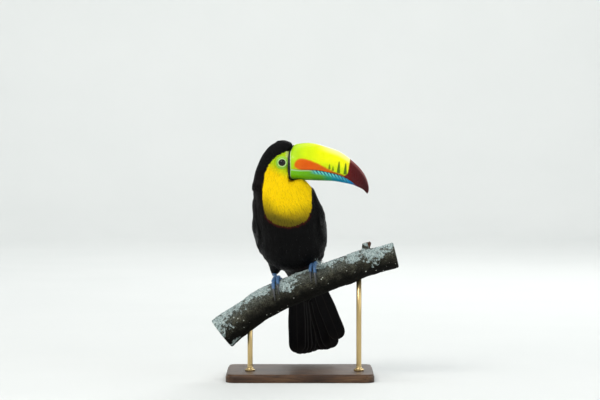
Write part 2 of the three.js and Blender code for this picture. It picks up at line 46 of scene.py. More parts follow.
MODEL_MIDDLE = (0.0, -0.026, 0.2802)
CAMERA = {"distance": 4.2, "rise": math.radians(2), "lens": 161.54, "sensor": 36.0, "sees_to": 30.0}
LAMPS = {  # name: place, aim, width, watts, colour
    "key": ((-1.5, -2.0, 2.5), MODEL_MIDDLE, 1.5, 57.0, (1.0, 0.98, 0.94)),
    "fill": ((2.2, -1.6, 1.3), MODEL_MIDDLE, 1.8, 17.0, (0.93, 0.97, 1.0)),
    "back": ((0.9, 2.3, 2.2), MODEL_MIDDLE, 1.6, 36.0, (1.0, 1.0, 1.0)),
    "top": ((-0.2, 0.0, 2.9), MODEL_MIDDLE, 1.8, 22.0, (1.0, 1.0, 1.0)),
    "wall_behind": ((0.0, 3.4, 3.6), (0.0, 6.0, 1.3), 2.4, 84.0, (1.0, 1.0, 1.0)),
    "wall_right": ((3.4, 0.0, 3.6), (6.0, 0.0, 1.3), 2.4, 66.0, (1.0, 1.0, 1.0)),
    "wall_left": ((-3.4, 0.0, 3.6), (-6.0, 0.0, 1.3), 2.4, 66.0, (1.0, 1.0, 1.0)),
    "wall_ahead": ((0.0, -3.4, 3.6), (0.0, -6.0, 1.3), 2.4, 66.0, (1.0, 1.0, 1.0)),
}
ROOM = {"floor": 4.4, "wall": 5.9, "top": 4.6, "sweep": 24, "sides": 96}
PLASTER = (0.64, 0.655, 0.64), (0.68, 0.69, 0.675)
SKY = (0.9, 0.95, 1.0, 1), 0.5  # colour and strength


def node(tree, kind, inputs=None, **settings):
    """A shader node with its settings, its inputs set to a value or joined to a socket."""
    made = tree.nodes.new(kind)
    for name, value in settings.items():
        setattr(made, name, value)
    for name, value in (inputs or {}).items():
        if isinstance(value, bpy.types.NodeSocket):
            tree.links.new(value, made.inputs[name])
        else:
            made.inputs[name].default_value = value
    if kind in ("ShaderNodeTexNoise", "ShaderNodeTexVoronoi") and "Vector" not in (inputs or {}):
        at = tree.nodes.get("Texture Coordinate") or tree.nodes.new("ShaderNodeTexCoord")
        tree.links.new(at.outputs["Object"], made.inputs["Vector"])
    return made


def clouds(tree, scale, detail, roughness=0.5, **more):
    """Cloudy noise between 0 and 1, fixed to the piece."""
    return node(tree, "ShaderNodeTexNoise",
                {"Scale": scale, "Detail": detail, "Roughness": roughness, **more}).outputs["Fac"]


def pebbles(tree, scale):
    """Small cells packed together: how far each spot is from its own cell's middle."""
    return node(tree, "ShaderNodeTexVoronoi", {"Scale": scale}).outputs["Distance"]


def mix(tree, factor, a, b, blend="MIX"):
    """A colour mixed between two, each a colour or a socket."""
    made = node(tree, "ShaderNodeMix", data_type="RGBA", blend_type=blend)
    for name, value in (("Factor", factor), ("A", a), ("B", b)):
        socket = next(s for s in made.inputs if s.name == name and (name == "Factor" or s.type == "RGBA"))
        if isinstance(value, bpy.types.NodeSocket):
            tree.links.new(value, socket)
        else:
            socket.default_value = (*value, 1.0) if isinstance(value, tuple) and len(value) == 3 else value
    return next(s for s in made.outputs if s.type == "RGBA")


def new_finish(name, **sockets):
    """A material with a Principled shader, its sockets that are the same all over set on it."""
    material = bpy.data.materials.new(name)
    material.use_nodes = True
    shader = material.node_tree.nodes["Principled BSDF"]
    for socket, value in sockets.items():
        shader.inputs[socket.replace("_", " ")].default_value = value
    return material, material.node_tree, shader


def circle(count):
    """Angles evenly round a circle."""
    return np.linspace(0, 2 * math.pi, count, endpoint=False)


def lathe(profile, sides):
    """Points and faces of a profile [(radius, height), ...] turned about Z."""
    angles = circle(sides)
    points = [(r * math.cos(a), r * math.sin(a), z) for r, z in profile for a in angles]
    faces = []
    for i in range(len(profile) - 1):
        for j in range(sides):
            k = (j + 1) % sides
            faces.append((i * sides + j, i * sides + k, (i + 1) * sides + k, (i + 1) * sides + j))
    return np.array(points), np.array(faces)


def build_mesh(name, points, quads, tris=()):
    """A mesh from arrays of points in metres and of faces with four and three corners."""
    quads = np.asarray(quads, dtype=np.int32).reshape(-1, 4)
    tris = np.asarray(tris, dtype=np.int32).reshape(-1, 3)
    mesh = bpy.data.meshes.new(name)
    mesh.vertices.add(len(points))
    mesh.vertices.foreach_set("co", np.asarray(points, dtype=np.float32).ravel())
    corners = np.concatenate([quads.ravel(), tris.ravel()])
    mesh.loops.add(len(corners))
    mesh.loops.foreach_set("vertex_index", corners)
    starts = np.concatenate([np.arange(len(quads)) * 4, len(quads) * 4 + np.arange(len(tris)) * 3])
    mesh.polygons.add(len(starts))
    mesh.polygons.foreach_set("loop_start", starts.astype(np.int32))
    mesh.polygons.foreach_set("use_smooth", np.ones(len(starts), dtype=bool))
    mesh.update(calc_edges=True)
    mesh.validate()
    piece = bpy.data.objects.new(name, mesh)
    bpy.context.scene.collection.objects.link(piece)
    return piece


room_line = [(0.0001, 0.0), (ROOM["floor"] * 0.5, 0.0), (ROOM["floor"], 0.0)]
for step in range(1, ROOM["sweep"] + 1):
    turn = math.radians(90 * step / ROOM["sweep"])
    run = ROOM["wall"] - ROOM["floor"]
    room_line.append((ROOM["floor"] + run * math.sin(turn), run * (1 - math.cos(turn))))
room_line.append((ROOM["wall"], ROOM["top"]))
room_points, room_faces = lathe(room_line, ROOM["sides"])
room = build_mesh("room", room_points, room_faces[:, ::-1])
room_paint, tree, shader = new_finish("room_paint", Roughness=0.85)
tree.links.new(mix(tree, clouds(tree, 3.0, 3.0), *PLASTER), shader.inputs["Base Color"])
room.data.materials.append(room_paint)

for name, (place, aim, width, watts, colour) in LAMPS.items():
    lamp = bpy.data.objects.new(f"lamp_{name}", bpy.data.lights.new(f"lamp_{name}", "AREA"))
    lamp.data.shape, lamp.data.size, lamp.data.energy, lamp.data.color = "DISK", width, watts, colour
    lamp.location = place
    lamp.rotation_euler = (Vector(aim) - Vector(place)).to_track_quat("-Z", "Y").to_euler()
    bpy.context.scene.collection.objects.link(lamp)

world = bpy.data.worlds.new("soft_sky")
world.use_nodes = True
world.node_tree.nodes["Background"].inputs["Color"].default_value = SKY[0]
world.node_tree.nodes["Background"].inputs["Strength"].default_value = SKY[1]
bpy.context.scene.world = world

camera = bpy.data.objects.new("camera", bpy.data.cameras.new("camera"))
camera.data.lens, camera.data.sensor_width = CAMERA["lens"], CAMERA["sensor"]
camera.data.clip_end = CAMERA["sees_to"]
away = Vector((0, -math.cos(CAMERA["rise"]), math.sin(CAMERA["rise"])))
camera.location = Vector(MODEL_MIDDLE) + away * CAMERA["distance"]
camera.rotation_euler = (-away).to_track_quat("-Z", "Y").to_euler()
bpy.context.scene.collection.objects.link(camera)
bpy.context.scene.camera = camera
bpy.context.scene.view_settings.view_transform = "Standard"

# ------------------------------------------------------------------ skin
# The bird's body under its feathers: one skin from the crown to the root of the tail, over the
# thighs and under the folded wings. It is drawn tight over the solid body, sunk by the coat's depth.

MM = 0.001
BIRD_AT = np.array([0.0, -26.0, 12.0])  # the bird's own zero, in millimetres from the base's centre
FLESH = ["head", "neck", "trunk", "thigh_right", "thigh_left", "wing_right", "wing_left"]
SPINE = [
    (-35, -11, 362), (-37, -11, 332), (-33, -8, 303), (-26, -3, 272), (-19, 8, 240),
    (-12, 27, 210), (-5, 48, 184), (5, 65, 160), (10, 77, 132), (16, 89, 100),
]
HEAD_YAW = math.radians(6)
BILL_BASE = np.array([-15.6, -14.0, 324.0])
COAT_DEPTH = {"head": 1.2, "body": 1.9}
SKIN_GRAIN = 2.0  # millimetres between the skin's points
SWELL = 0.7  # millimetres that close the thin cuts between the solids before the skin is drawn
SPINE_POINTS = 401
AT_ONCE = 4000  # points that are placed along the spine in one go
FILLED_OUT = [  # (x, z) of fuller or leaner places, how far round them it is felt, and the shift there
    ((20, 284), 15, (2.6, 0, 1.8)), ((36, 183), 12, (3.4, 0, -1.0)), ((-74, 205), 14, (3.4, 0, 0)),
    ((-25, 360), 10, (0, 0, 2.0)), ((-55, 338), 14, (-0.8, 0, 0.8)), ((-76, 270), 13, (2.4, 0, 0)),
    ((-66, 184), 11, (1.6, 0, 1.4)), ((-4, 295), 9, (0, -0.5, 3.0)), ((-44, 350), 11, (-1.2, 0, 1.8)),
]
BROW = {"ahead": 5.2, "up": -0.9}  # the forehead's feathers reach over the top of the bill's base


def smooth_curve(knots, steps=40):
    """Points along a smooth curve through knots, the same number of steps from each to the next."""
    knots = [np.array(k, dtype=float) for k in knots]
    knots = [2 * knots[0] - knots[1]] + knots + [2 * knots[-1] - knots[-2]]
    points = []
    for i in range(1, len(knots) - 2):
        before, start, end, after = knots[i - 1 : i + 3]
        d0, d1, d2 = [max(np.linalg.norm(b - a), 1e-8) ** 0.5
                      for a, b in ((before, start), (start, end), (end, after))]
        leave = ((start - before) / d0 - (end - before) / (d0 + d1) + (end - start) / d1) * d1
        arrive = ((end - start) / d1 - (after - start) / (d1 + d2) + (after - end) / d2) * d1
        for t in np.arange(steps) / steps:
            c2 = -3 * start + 3 * end - 2 * leave - arrive
            c3 = 2 * start - 2 * end + leave + arrive
            points.append(start + leave * t + c2 * t * t + c3 * t**3)
    return np.array(points + [knots[-2]])


def evenly(points, count):
    """The same curve with its points evenly spaced by length."""
    run = np.concatenate([[0], np.cumsum(np.linalg.norm(np.diff(points, axis=0), axis=1))])
    at = np.linspace(0, run[-1], count)
    return np.stack([np.interp(at, run, points[:, i]) for i in range(3)], axis=1)


def unit(vectors):
    """The same ways with a length of one."""
    return vectors / np.maximum(np.linalg.norm(vectors, axis=-1, keepdims=True), 1e-9)


forward = np.array([math.cos(HEAD_YAW), -math.sin(HEAD_YAW), 0.0])
leftward = np.array([math.sin(HEAD_YAW), math.cos(HEAD_YAW), 0.0])
upward = np.array([0.0, 0.0, 1.0])
spine = evenly(smooth_curve(SPINE), SPINE_POINTS)
spine_down = unit(np.gradient(spine, axis=0))
spine_side = unit(np.array([1.0, 0, 0]) - spine_down * spine_down[:, :1])
spine_back = np.cross(spine_side, spine_down)


def in_bill_frame(points):
    """Distances ahead of the bill's base, to the head's left and up, in millimetres."""
    offset = points - BILL_BASE
    return np.stack([offset @ forward, offset @ leftward, offset @ upward], axis=-1)


def ease(low, high, value):
    """0 below low, 1 above high, and smooth between them."""
    share = np.clip((value - low) / (high - low), 0, 1)
    return share * share * (3 - 2 * share)


def along_body(points):
    """Place down the spine, 0 at the crown and 1 down the tail, and angle round it for each point."""
    place = np.zeros(len(points))
    for start in range(0, len(points), AT_ONCE):
        part = points[start : start + AT_ONCE]
        ahead = np.einsum("nij,ij->ni", part[:, None, :] - spine[None], spine_down)
        far = np.linalg.norm(part[:, None, :] - spine[None], axis=2)
        place[start : start + AT_ONCE] = np.argmin(np.abs(ahead) + 0.15 * far, axis=1)
    index = place.astype(int)
    offset = points - spine[index]
    side = np.einsum("ni,ni->n", offset, spine_side[index])
    back = np.einsum("ni,ni->n", offset, spine_back[index])
    return place / (len(spine) - 1), np.arctan2(back, side)


def to_row(points):
    """Points in the bird's millimetres, in the metres of the row's frame."""
    return (points + BIRD_AT) * MM


def to_bird(points):
    """The other way round."""
    return points / MM - BIRD_AT


def of_vertices(mesh, what):
    """Where a mesh's vertices are ("co") or which way they face ("normal")."""
    flat = np.empty(len(mesh.vertices) * 3, dtype=np.float32)
    mesh.vertices.foreach_get(what, flat)
    return flat.reshape(-1, 3).astype(float)


def redrawn(source, name, grain, relaxing):
    """One smooth closed skin drawn afresh over all that the source holds, which it takes the place of."""
    draw = source.modifiers.new("draw", "REMESH")
    draw.mode, draw.voxel_size = "VOXEL", grain * MM
    relax = source.modifiers.new("relax", "SMOOTH")
    relax.factor, relax.iterations = 0.5, relaxing
    mesh = bpy.data.meshes.new_from_object(source.evaluated_get(bpy.context.evaluated_depsgraph_get()))
    bpy.data.objects.remove(source)
    mesh.polygons.foreach_set("use_smooth", np.ones(len(mesh.polygons), dtype=bool))
    mesh.name = name
    piece = bpy.data.objects.new(name, mesh)
    bpy.context.scene.collection.objects.link(piece)
    return piece


whole = bmesh.new()
for name in FLESH:
    part = bmesh.new()
    part.from_mesh(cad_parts[name].data)
    bmesh.ops.remove_doubles(part, verts=part.verts, dist=1e-6)
    part.normal_update()
    for corner in part.verts:
        corner.co += corner.normal * SWELL * MM
    swollen = bpy.data.meshes.new(name + "_swollen")
    part.to_mesh(swollen)
    whole.from_mesh(swollen)
skin_mesh = bpy.data.meshes.new("skin_source")
whole.to_mesh(skin_mesh)
source = bpy.data.objects.new("skin_source", skin_mesh)
bpy.context.scene.collection.objects.link(source)
skin = redrawn(source, "skin", SKIN_GRAIN, 5)
skin_points = to_bird(of_vertices(skin.data, "co"))
skin_normals = of_vertices(skin.data, "normal")
place, turn = along_body(skin_points)
depth = SWELL + COAT_DEPTH["head"] + (COAT_DEPTH["body"] - COAT_DEPTH["head"]) * ease(0.2, 0.45, place)
skin_points -= skin_normals * depth[:, None]
for (x, z), reach, shift in FILLED_OUT:
    near = np.exp(-((skin_points[:, 0] - x) ** 2 + (skin_points[:, 2] - z) ** 2) / reach**2)
    skin_points += near[:, None] * np.array(shift)
brow = in_bill_frame(skin_points)
over_bill = ease(-9, -0.5, brow[:, 0]) * ease(21, 29, brow[:, 2])
skin_points += over_bill[:, None] * (forward * BROW["ahead"] + upward * BROW["up"])
skin.data.vertices.foreach_set("co", to_row(skin_points).astype(np.float32).ravel())
skin.data.update()
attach(skin, "root")
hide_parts(*FLESH)

# ------------------------------------------------------------------ markings
# The colours of a grown keel-billed toucan: black, with a yellow face and bib that turn lime round
# the eye, a thin dark red band under the bib, a white rump and red feathers under the tail.

FACE_TOP = [  # the yellow face's edge behind and over the eye, ahead of the bill's base and up
    (-41.9, -40), (-39.8, -26), (-35.8, -12.5), (-31.2, -1.4), (-25.8, 5.6), (-17.4, 13.7), (-3.6, 19.9),
    (6, 22)]
BIB_SIDES = [  # height, and where the yellow starts and ends round the neck, in degrees
    (229.6, -92.5, -91.5), (230.1, -98, -87), (231.2, -105.5, -78.4), (233.0, -111.5, -72.0),
    (235.4, -117.5, -65.5), (238.0, -121.9, -60.1), (241.3, -126.5, -54.1), (246.6, -131, -48.5),
    (252.6, -134.2, -43.0), (259.5, -136.6, -35.5), (267.3, -138.2, -31.5), (275.3, -138.0, -25),
    (283.8, -138.6, -17), (290.2, -138.8, -4), (298, -137.2, 28), (306, -135, 66), (316, -133, 108),
    (330, -131, 130),
]
# One colour here is painted shade, not plumage: the olive-brown laid over the bib's bottom and sides.
COLOURS = {
    "black": (0.0016, 0.0016, 0.002), "maroon": (0.0038, 0.0018, 0.0019), "yellow": (1.0, 0.69, 0.002),
    "lime": (0.5, 0.74, 0.012), "bib_shade": (0.1, 0.082, 0.008), "band": (0.085, 0.005, 0.005),
    "rump": (0.75, 0.73, 0.62), "vent": (0.42, 0.012, 0.01), "edging": (0.8, 0.95, 0.3),
}
MARK_NAMES = ["yellow", "lime", "edging", "bib_shade", "band", "rump", "vent", "maroon"]
ROUND = 0.7  # millimetres to a degree round the neck


def curve_value(pairs, value):
    """A value read off pairs (place, value), straight between them."""
    return np.interp(value, [p[0] for p in pairs], [p[1] for p in pairs])


def within(outline, u, v):
    """Distance from each point (u, v) to a closed outline's edge, positive inside it."""
    outline = np.asarray(outline, dtype=float)
    nearest = np.full(len(u), 1e9)
    inside = np.zeros(len(u), dtype=bool)
    for (ax, ay), (bx, by) in zip(outline, np.roll(outline, -1, axis=0)):
        along = ((u - ax) * (bx - ax) + (v - ay) * (by - ay)) / ((bx - ax) ** 2 + (by - ay) ** 2)
        along = np.clip(along, 0, 1)
        nearest = np.minimum(nearest, np.hypot(u - ax - along * (bx - ax), v - ay - along * (by - ay)))
        if ay != by:
            inside ^= ((ay > v) != (by > v)) & (u < (bx - ax) * (v - ay) / (by - ay) + ax)
    return np.where(inside, nearest, -nearest)


FACE = FACE_TOP + [(40, 22), (40, -90), (-46, -90)]
BIB = [(a * ROUND, z) for z, a, _ in BIB_SIDES] + [(b * ROUND, z) for z, _, b in reversed(BIB_SIDES)]
spine_rise = np.argsort(spine[:, 2])


def markings(points, place=None, turn=None):
    """How far each point is in each of the markings, 0 to 1."""
    head = in_bill_frame(points)
    height = points[:, 2]
    middle = [np.interp(height, spine[spine_rise, 2], spine[spine_rise, axis]) for axis in (0, 1)]
    around = np.degrees(np.arctan2(points[:, 1] - middle[1], points[:, 0] - middle[0]))
    in_bib = within(BIB, around * ROUND, height)
    in_face = within(FACE, head[:, 0], head[:, 2])
    start = 297 + 24 * ease(-45, 0, around) * ease(170, 140, around)  # the left cheek's edge is further up
    inside = in_bib + (in_face - in_bib) * ease(0, 12, height - start)
    side = ease(30, 0, inside) * (8 + 10 * ease(-75, -110, around))  # the painted shade reaches further into the bib at its sides
    place, turn = along_body(points) if place is None else (place, turn)
    back = np.sin(turn)
    return {
        "yellow": ease(-0.35, 0.35, inside),
        "lime": ease(301, 323, height + 0.55 * np.minimum(head[:, 0], -4) + 5),
        # painted shade: the bib darker toward its bottom, and sooner at its sides
        "bib_shade": ease(271, 224.5, height - side) * 0.97,
        "edging": ease(-4.9, -3.9, head[:, 0]) * ease(-0.4, -1.6, head[:, 0]) * ease(-3, 7, head[:, 2])
        * ease(-1.5, 0.2, inside),
        "band": ease(-0.1, -0.6, inside) * ease(-3.4, -2.2, inside) * ease(252, 242, height) * 0.5,
        "rump": ease(0.765, 0.785, place) * ease(-0.05, 0.2, back),
        "vent": ease(0.73, 0.76, place) * ease(0.85, 0.83, place) * ease(-0.5, -0.72, back),
        "maroon": ease(0.1, 0.2, place) * ease(0.42, 0.26, place) * (1 - ease(-3, 0, inside)),
    }


def store(piece, name, value):
    """Keeps one value for each of a piece's vertices, for its material to read."""
    layer = piece.data.attributes.new(name, "FLOAT", "POINT")
    layer.data.foreach_set("value", np.asarray(value, dtype=np.float32).ravel())


def attribute(tree, name):
    """A value that was stored on the piece."""
    return node(tree, "ShaderNodeAttribute", attribute_name=name).outputs["Fac"]


def group_of(name, inputs, outputs):
    """An empty shader group with its sockets: names to default values, or to socket kinds."""
    group = bpy.data.node_groups.new(name, "ShaderNodeTree")
    for socket, value in inputs.items():
        kind = "NodeSocketColor" if isinstance(value, tuple) else "NodeSocketFloat"
        group.interface.new_socket(socket, in_out="INPUT", socket_type=kind).default_value = value
    for socket, kind in outputs.items():
        group.interface.new_socket(socket, in_out="OUTPUT", socket_type=kind)
    return group, group.nodes.new("NodeGroupInput").outputs, group.nodes.new("NodeGroupOutput").inputs


def maths(tree, operation, a, b=0.0, c=0.0, clamp=False):
    """A sum of numbers and sockets."""
    made = node(tree, "ShaderNodeMath", operation=operation, use_clamp=clamp)
    for socket, value in zip(made.inputs, (a, b, c)):
        if isinstance(value, bpy.types.NodeSocket):
            tree.links.new(value, socket)
        else:
            socket.default_value = value
    return made.outputs[0]


def times(tree, a, b):
    """Two values multiplied."""
    return maths(tree, "MULTIPLY", a, b)


def plus(tree, a, b):
    """Two values added."""
    return maths(tree, "ADD", a, b)


def scaled(tree, value, factor, offset):
    """value * factor + offset."""
    return maths(tree, "MULTIPLY_ADD", value, factor, offset)


def relief(tree, shader, height, strength, depth):
    """Gives a finish a fine relief, so many metres deep."""
    bump = node(tree, "ShaderNodeBump", {"Strength": strength, "Distance": depth, "Height": height})
    tree.links.new(bump.outputs["Normal"], shader.inputs["Normal"])


markings_group, given, out = group_of(
    "plumage_markings", {name: 0.0 for name in MARK_NAMES},
    {"Colour": "NodeSocketColor", "Pale": "NodeSocketFloat"})
tree = markings_group
warm = mix(tree, given["lime"], COLOURS["yellow"], COLOURS["lime"])
warm = mix(tree, given["edging"], warm, COLOURS["edging"])
# painted shade over the bib's bottom and sides
warm = mix(tree, given["bib_shade"], warm, COLOURS["bib_shade"])
dark = mix(tree, given["maroon"], COLOURS["black"], COLOURS["maroon"])
dark = mix(tree, given["band"], dark, COLOURS["band"])
dark = mix(tree, given["vent"], dark, COLOURS["vent"])
dark = mix(tree, given["rump"], dark, COLOURS["rump"])
tree.links.new(mix(tree, given["yellow"], dark, warm), out["Colour"])
pale = maths(tree, "MAXIMUM", given["yellow"], maths(tree, "MAXIMUM", given["rump"], given["vent"]))
tree.links.new(pale, out["Pale"])


def marked_colour(tree):
    """The markings group fed by a piece's own stored markings: its colour and how pale it is."""
    made = node(tree, "ShaderNodeGroup", node_tree=markings_group)
    for name in MARK_NAMES:
        tree.links.new(attribute(tree, name), made.inputs[name])
    return made.outputs["Colour"], made.outputs["Pale"]


for name, value in markings(skin_points).items():
    store(skin, name, value)
skin_paint, tree, shader = new_finish("skin_paint", Roughness=0.8, Specular_IOR_Level=0.1)
colour, pale = marked_colour(tree)
down = clouds(tree, 900.0, 4.0, 0.6)
shade = mix(tree, down, (0.45, 0.45, 0.45), (0.95, 0.95, 0.95))
tree.links.new(mix(tree, 1.0, colour, shade, "MULTIPLY"), shader.inputs["Base Color"])
relief(tree, shader, down, 0.6, 0.0006)
skin.data.materials.append(skin_paint)

# ------------------------------------------------------------------ coat
# Small feathers over the whole skin, rooted under one another like tiles: fine and silky on the face
# and bib, broader on the body, longest over the root of the tail. Each is a thin vane with a worn tip.
# Those of the tail's root are laid last, in the tail's section, over its quills.

EYE = {"back": 10.0, "up": 3.2, "side": 17.1, "radius": 6.3}
BARE = 9.4  # bare skin round the eye, in millimetres from its middle
LAST_ROOT = 0.93  # feathers stop this far down the spine, where the tail goes on
FEATHERS = {  # place down the spine: spacing, length, width, height at the tip, in millimetres
    0.0: (1.25, 4.4, 1.5, 1.1), 0.16: (1.25, 5.2, 1.5, 1.2), 0.26: (1.3, 6.6, 1.6, 1.5),
    0.40: (1.85, 8.2, 2.5, 1.85), 0.52: (2.6, 10.0, 4.0, 2.05), 0.72: (2.9, 11.5, 4.5, 2.1),
    0.82: (2.3, 16.0, 4.4, 2.0), 1.0: (2.4, 26.0, 5.0, 2.2),
}
REGIONS = {  # each coat piece: from and to down the spine, rows and columns of points in a vane
    "coat_head": (0, 0.17, 4, 5), "coat_neck": (0.17, 0.3, 5, 5), "coat_breast": (0.3, 0.44, 5, 5),
    "coat_belly": (0.44, 0.76, 6, 5),
}
TAIL_ROOT = (0.76, 9, 5)  # the same for the tail's root, which has no end of its own
STEP_OUT = {"longer": 1.5, "higher": 1.9}  # feathers that end in a step over the next row, in millimetres
ROOTS_TRIED = 260000
CELL = 4.2  # millimetres, more than the widest spacing
PATCH = 0.0015  # half of a feather's width on the bake map

WING = {
    "angle": [(0.3, 4), (0.45, 12), (0.6, 28), (0.75, 52), (0.88, 72)],
    "half": [(0.28, 2), (0.295, 6), (0.335, 18), (0.42, 31), (0.52, 38), (0.62, 36), (0.72, 26), (0.81, 15),
             (0.85, 9), (0.88, 4)],
}  # place down the spine, and degrees round the body of its middle, or half its width in millimetres
dice = np.random.default_rng(11)

skin_tree = BVHTree.FromPolygons(
    [tuple(p) for p in skin_points], [tuple(f.vertices) for f in skin.data.polygons], epsilon=0.0)


def onto_skin(points, heights, under=skin_tree):
    """The points brought onto the skin, or onto what else lies under them, and raised by their heights."""
    raised = np.empty_like(points)
    for i, (point, height) in enumerate(zip(points, heights)):
        at, normal, _, _ = under.find_nearest(point)
        raised[i] = at + normal * height
    return raised


def eye_centre(sign):
    """The middle of the right eye (-1) or the left one (1)."""
    return BILL_BASE - forward * EYE["back"] + leftward * sign * EYE["side"] + upward * EYE["up"]


def body_radius(place):
    """Millimetres to a radian round the body at a place down the spine."""
    return 42.0 * ease(1.0, 0.7, place) + 12


def in_wing(place, turn):
    """Where a point is across the folded wing on its side: -1 its lower edge, 1 its upper edge."""
    side_turn = np.degrees(np.where(np.cos(turn) > 0, turn, math.pi - turn))
    side_turn = (side_turn + 180) % 360 - 180
    offset = (side_turn - curve_value(WING["angle"], place)) * math.pi / 180 * body_radius(place)
    return offset / curve_value(WING["half"], place)


def lie_of(points, normals, place):
    """Which way the feathers lie: away from the bill over the head, then down the body."""
    away = unit(points - (BILL_BASE + forward * 6)) - 0.25 * upward
    down = spine_down[(place * (len(spine) - 1)).astype(int)]
    share = ease(0.13, 0.3, place)[:, None]
    lie = away * (1 - share) + down * share
    lie -= normals * np.einsum("ni,ni->n", lie, normals)[:, None]
    return unit(lie)


def scatter(points, faces, spacing_at, count):
    """Points spread over the skin, no two nearer than the spacing there. Returns points and normals."""
    a, b, c = points[faces[:, 0]], points[faces[:, 1]], points[faces[:, 2]]
    cross = np.cross(b - a, c - a)
    area = np.linalg.norm(cross, axis=1) / 2
    spacing = spacing_at((a + b + c) / 3)
    weight = area / spacing**2
    pick = dice.choice(len(faces), size=count, p=weight / weight.sum())
    u, v = dice.random((2, count))
    flip = u + v > 1
    u[flip], v[flip] = 1 - u[flip], 1 - v[flip]
    found = a[pick] + (b - a)[pick] * u[:, None] + (c - a)[pick] * v[:, None]
    gap = spacing[pick]
    cells, keep = {}, []
    keys = np.floor(found / CELL).astype(int)
    around = [(i, j, k) for i in (-1, 0, 1) for j in (-1, 0, 1) for k in (-1, 0, 1)]
    for i in range(count):
        x, y, z = found[i]
        kx, ky, kz = keys[i]
        others = (other for dx, dy, dz in around for other in cells.get((kx + dx, ky + dy, kz + dz), ()))
        if all((ox - x) ** 2 + (oy - y) ** 2 + (oz - z) ** 2 >= gap[i] ** 2 for ox, oy, oz in others):
            keep.append(i)
            cells.setdefault((kx, ky, kz), []).append((x, y, z))
    keep = np.array(keep)
    return found[keep], unit(cross)[pick[keep]]


def vanes(name, here, rows, columns, under=skin_tree):
    """A coat piece: one worn, slightly domed vane for each root here, laid on the skin along its lie."""
    roots, lies, normals, place, turn = [
        every[here] for every in (coat_roots, coat_lies, coat_normals, coat_place, coat_turn)]
    length, width, height = [size[here] for size in sizes]
    count = len(roots)
    along = np.linspace(0, 1, rows)[None, :, None]
    across = np.linspace(-1, 1, columns)[None, None, :]
    chance = dice.random((count, 1, 1))
    ragged = 0.3 if width.mean() < 2.2 else 0.16  # silky tips are split further up
    fray = dice.uniform(-0.5, 0.5, (count, 1, columns)) * (along > 0.99) * ragged
    odd = np.abs(np.arange(columns) - columns // 2) % 2 == 1
    notch = -0.7 * ragged * odd[None, None, :] * (along > 0.99)
    swell = np.interp(along, [0, 0.25, 0.6, 0.85, 1.0], [0.4, 0.8, 1.0, 0.78, 0.4])
    reach = (along * (1 - 0.12 * across**2 * along) + fray + notch) * length[:, None, None]
    aside = across * swell * width[:, None, None] / 2 + 0 * reach
    turned = dice.normal(0, 0.13, count)
    lies = unit(lies + np.cross(normals, lies) * turned[:, None])
    sides = np.cross(normals, lies)
    points = (roots[:, None, None] + lies[:, None, None] * reach[..., None]
              + sides[:, None, None] * aside[..., None])
    rise = np.interp(along, [0, 0.3, 0.8, 1.0], [0.25, 0.66, 0.96, 0.98]) * (0.9 + 0.16 * chance)
    rise = rise * height[:, None, None] - 0.075 * (across**2) * swell * width[:, None, None]
    points = onto_skin(points.reshape(-1, 3), rise.ravel(), under)
    each = (count, rows, columns)
    piece = build_mesh(name, to_row(points), sheet_quads(np.arange(math.prod(each)).reshape(each)))
    for key, value in (("along", along), ("across", across), ("chance", chance)):
        store(piece, key, np.broadcast_to(value, each))
    stray = dice.normal(0, 0.45, roots.shape)[:, None, None]
    seen = points.reshape(*each, 3) * 0.75 + roots[:, None, None] * 0.25 + stray
    spread = [np.broadcast_to(value[:, None, None], each).ravel() for value in (place, turn)]
    for key, value in markings(seen.reshape(-1, 3), *spread).items():
        store(piece, key, value)
    bake_map(piece, place, turn, along, across, each)
    piece.data.materials.append(coat_paint)
    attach(piece, "root")


def sheet_quads(index):
    """Faces between the points of sheets, numbered by sheet, row and column."""
    corners = [index[:, :-1, :-1], index[:, :-1, 1:], index[:, 1:, 1:], index[:, 1:, :-1]]
    return np.stack(corners, axis=-1).reshape(-1, 4)


def bake_map(piece, place, turn, along, across, each):
    """The map named OFBake: a small patch for each feather, at its root's place down and round the body."""
    u, v = [value.reshape(-1, *[1] * (len(each) - 1)) for value in (turn / (2 * math.pi) % 1, place)]
    patch = np.stack([np.broadcast_to(u + PATCH * across, each),
                      np.broadcast_to(v + PATCH * (2 * along - 1), each)], axis=-1).reshape(-1, 2)
    layer = piece.data.uv_layers.new(name="OFBake")
    corners = np.empty(len(piece.data.loops), dtype=np.int32)
    piece.data.loops.foreach_get("vertex_index", corners)
    layer.data.foreach_set("uv", patch[corners].astype(np.float32).ravel())


# Barbs: fine slanting lines each side of a feather's shaft, used on every kind of feather.
barbs_group, given, out = group_of(
    "feather_barbs", {"Along": 0.0, "Across": 0.0, "Count": 40.0, "Slant": 0.6, "Shaft": 0.06},
    {"Height": "NodeSocketFloat", "Shaft": "NodeSocketFloat"})
tree = barbs_group
outward = maths(tree, "ABSOLUTE", given["Across"])
run = maths(tree, "SUBTRACT", given["Along"], times(tree, outward, given["Slant"]))
wave = maths(tree, "SINE", times(tree, times(tree, run, given["Count"]), 2 * math.pi))
wave = scaled(tree, wave, 0.5, 0.5)
near = maths(tree, "SUBTRACT", 1.0, maths(tree, "DIVIDE", outward, given["Shaft"]), clamp=True)
tree.links.new(maths(tree, "MAXIMUM", wave, times(tree, near, 1.6)), out["Height"])
tree.links.new(near, out["Shaft"])

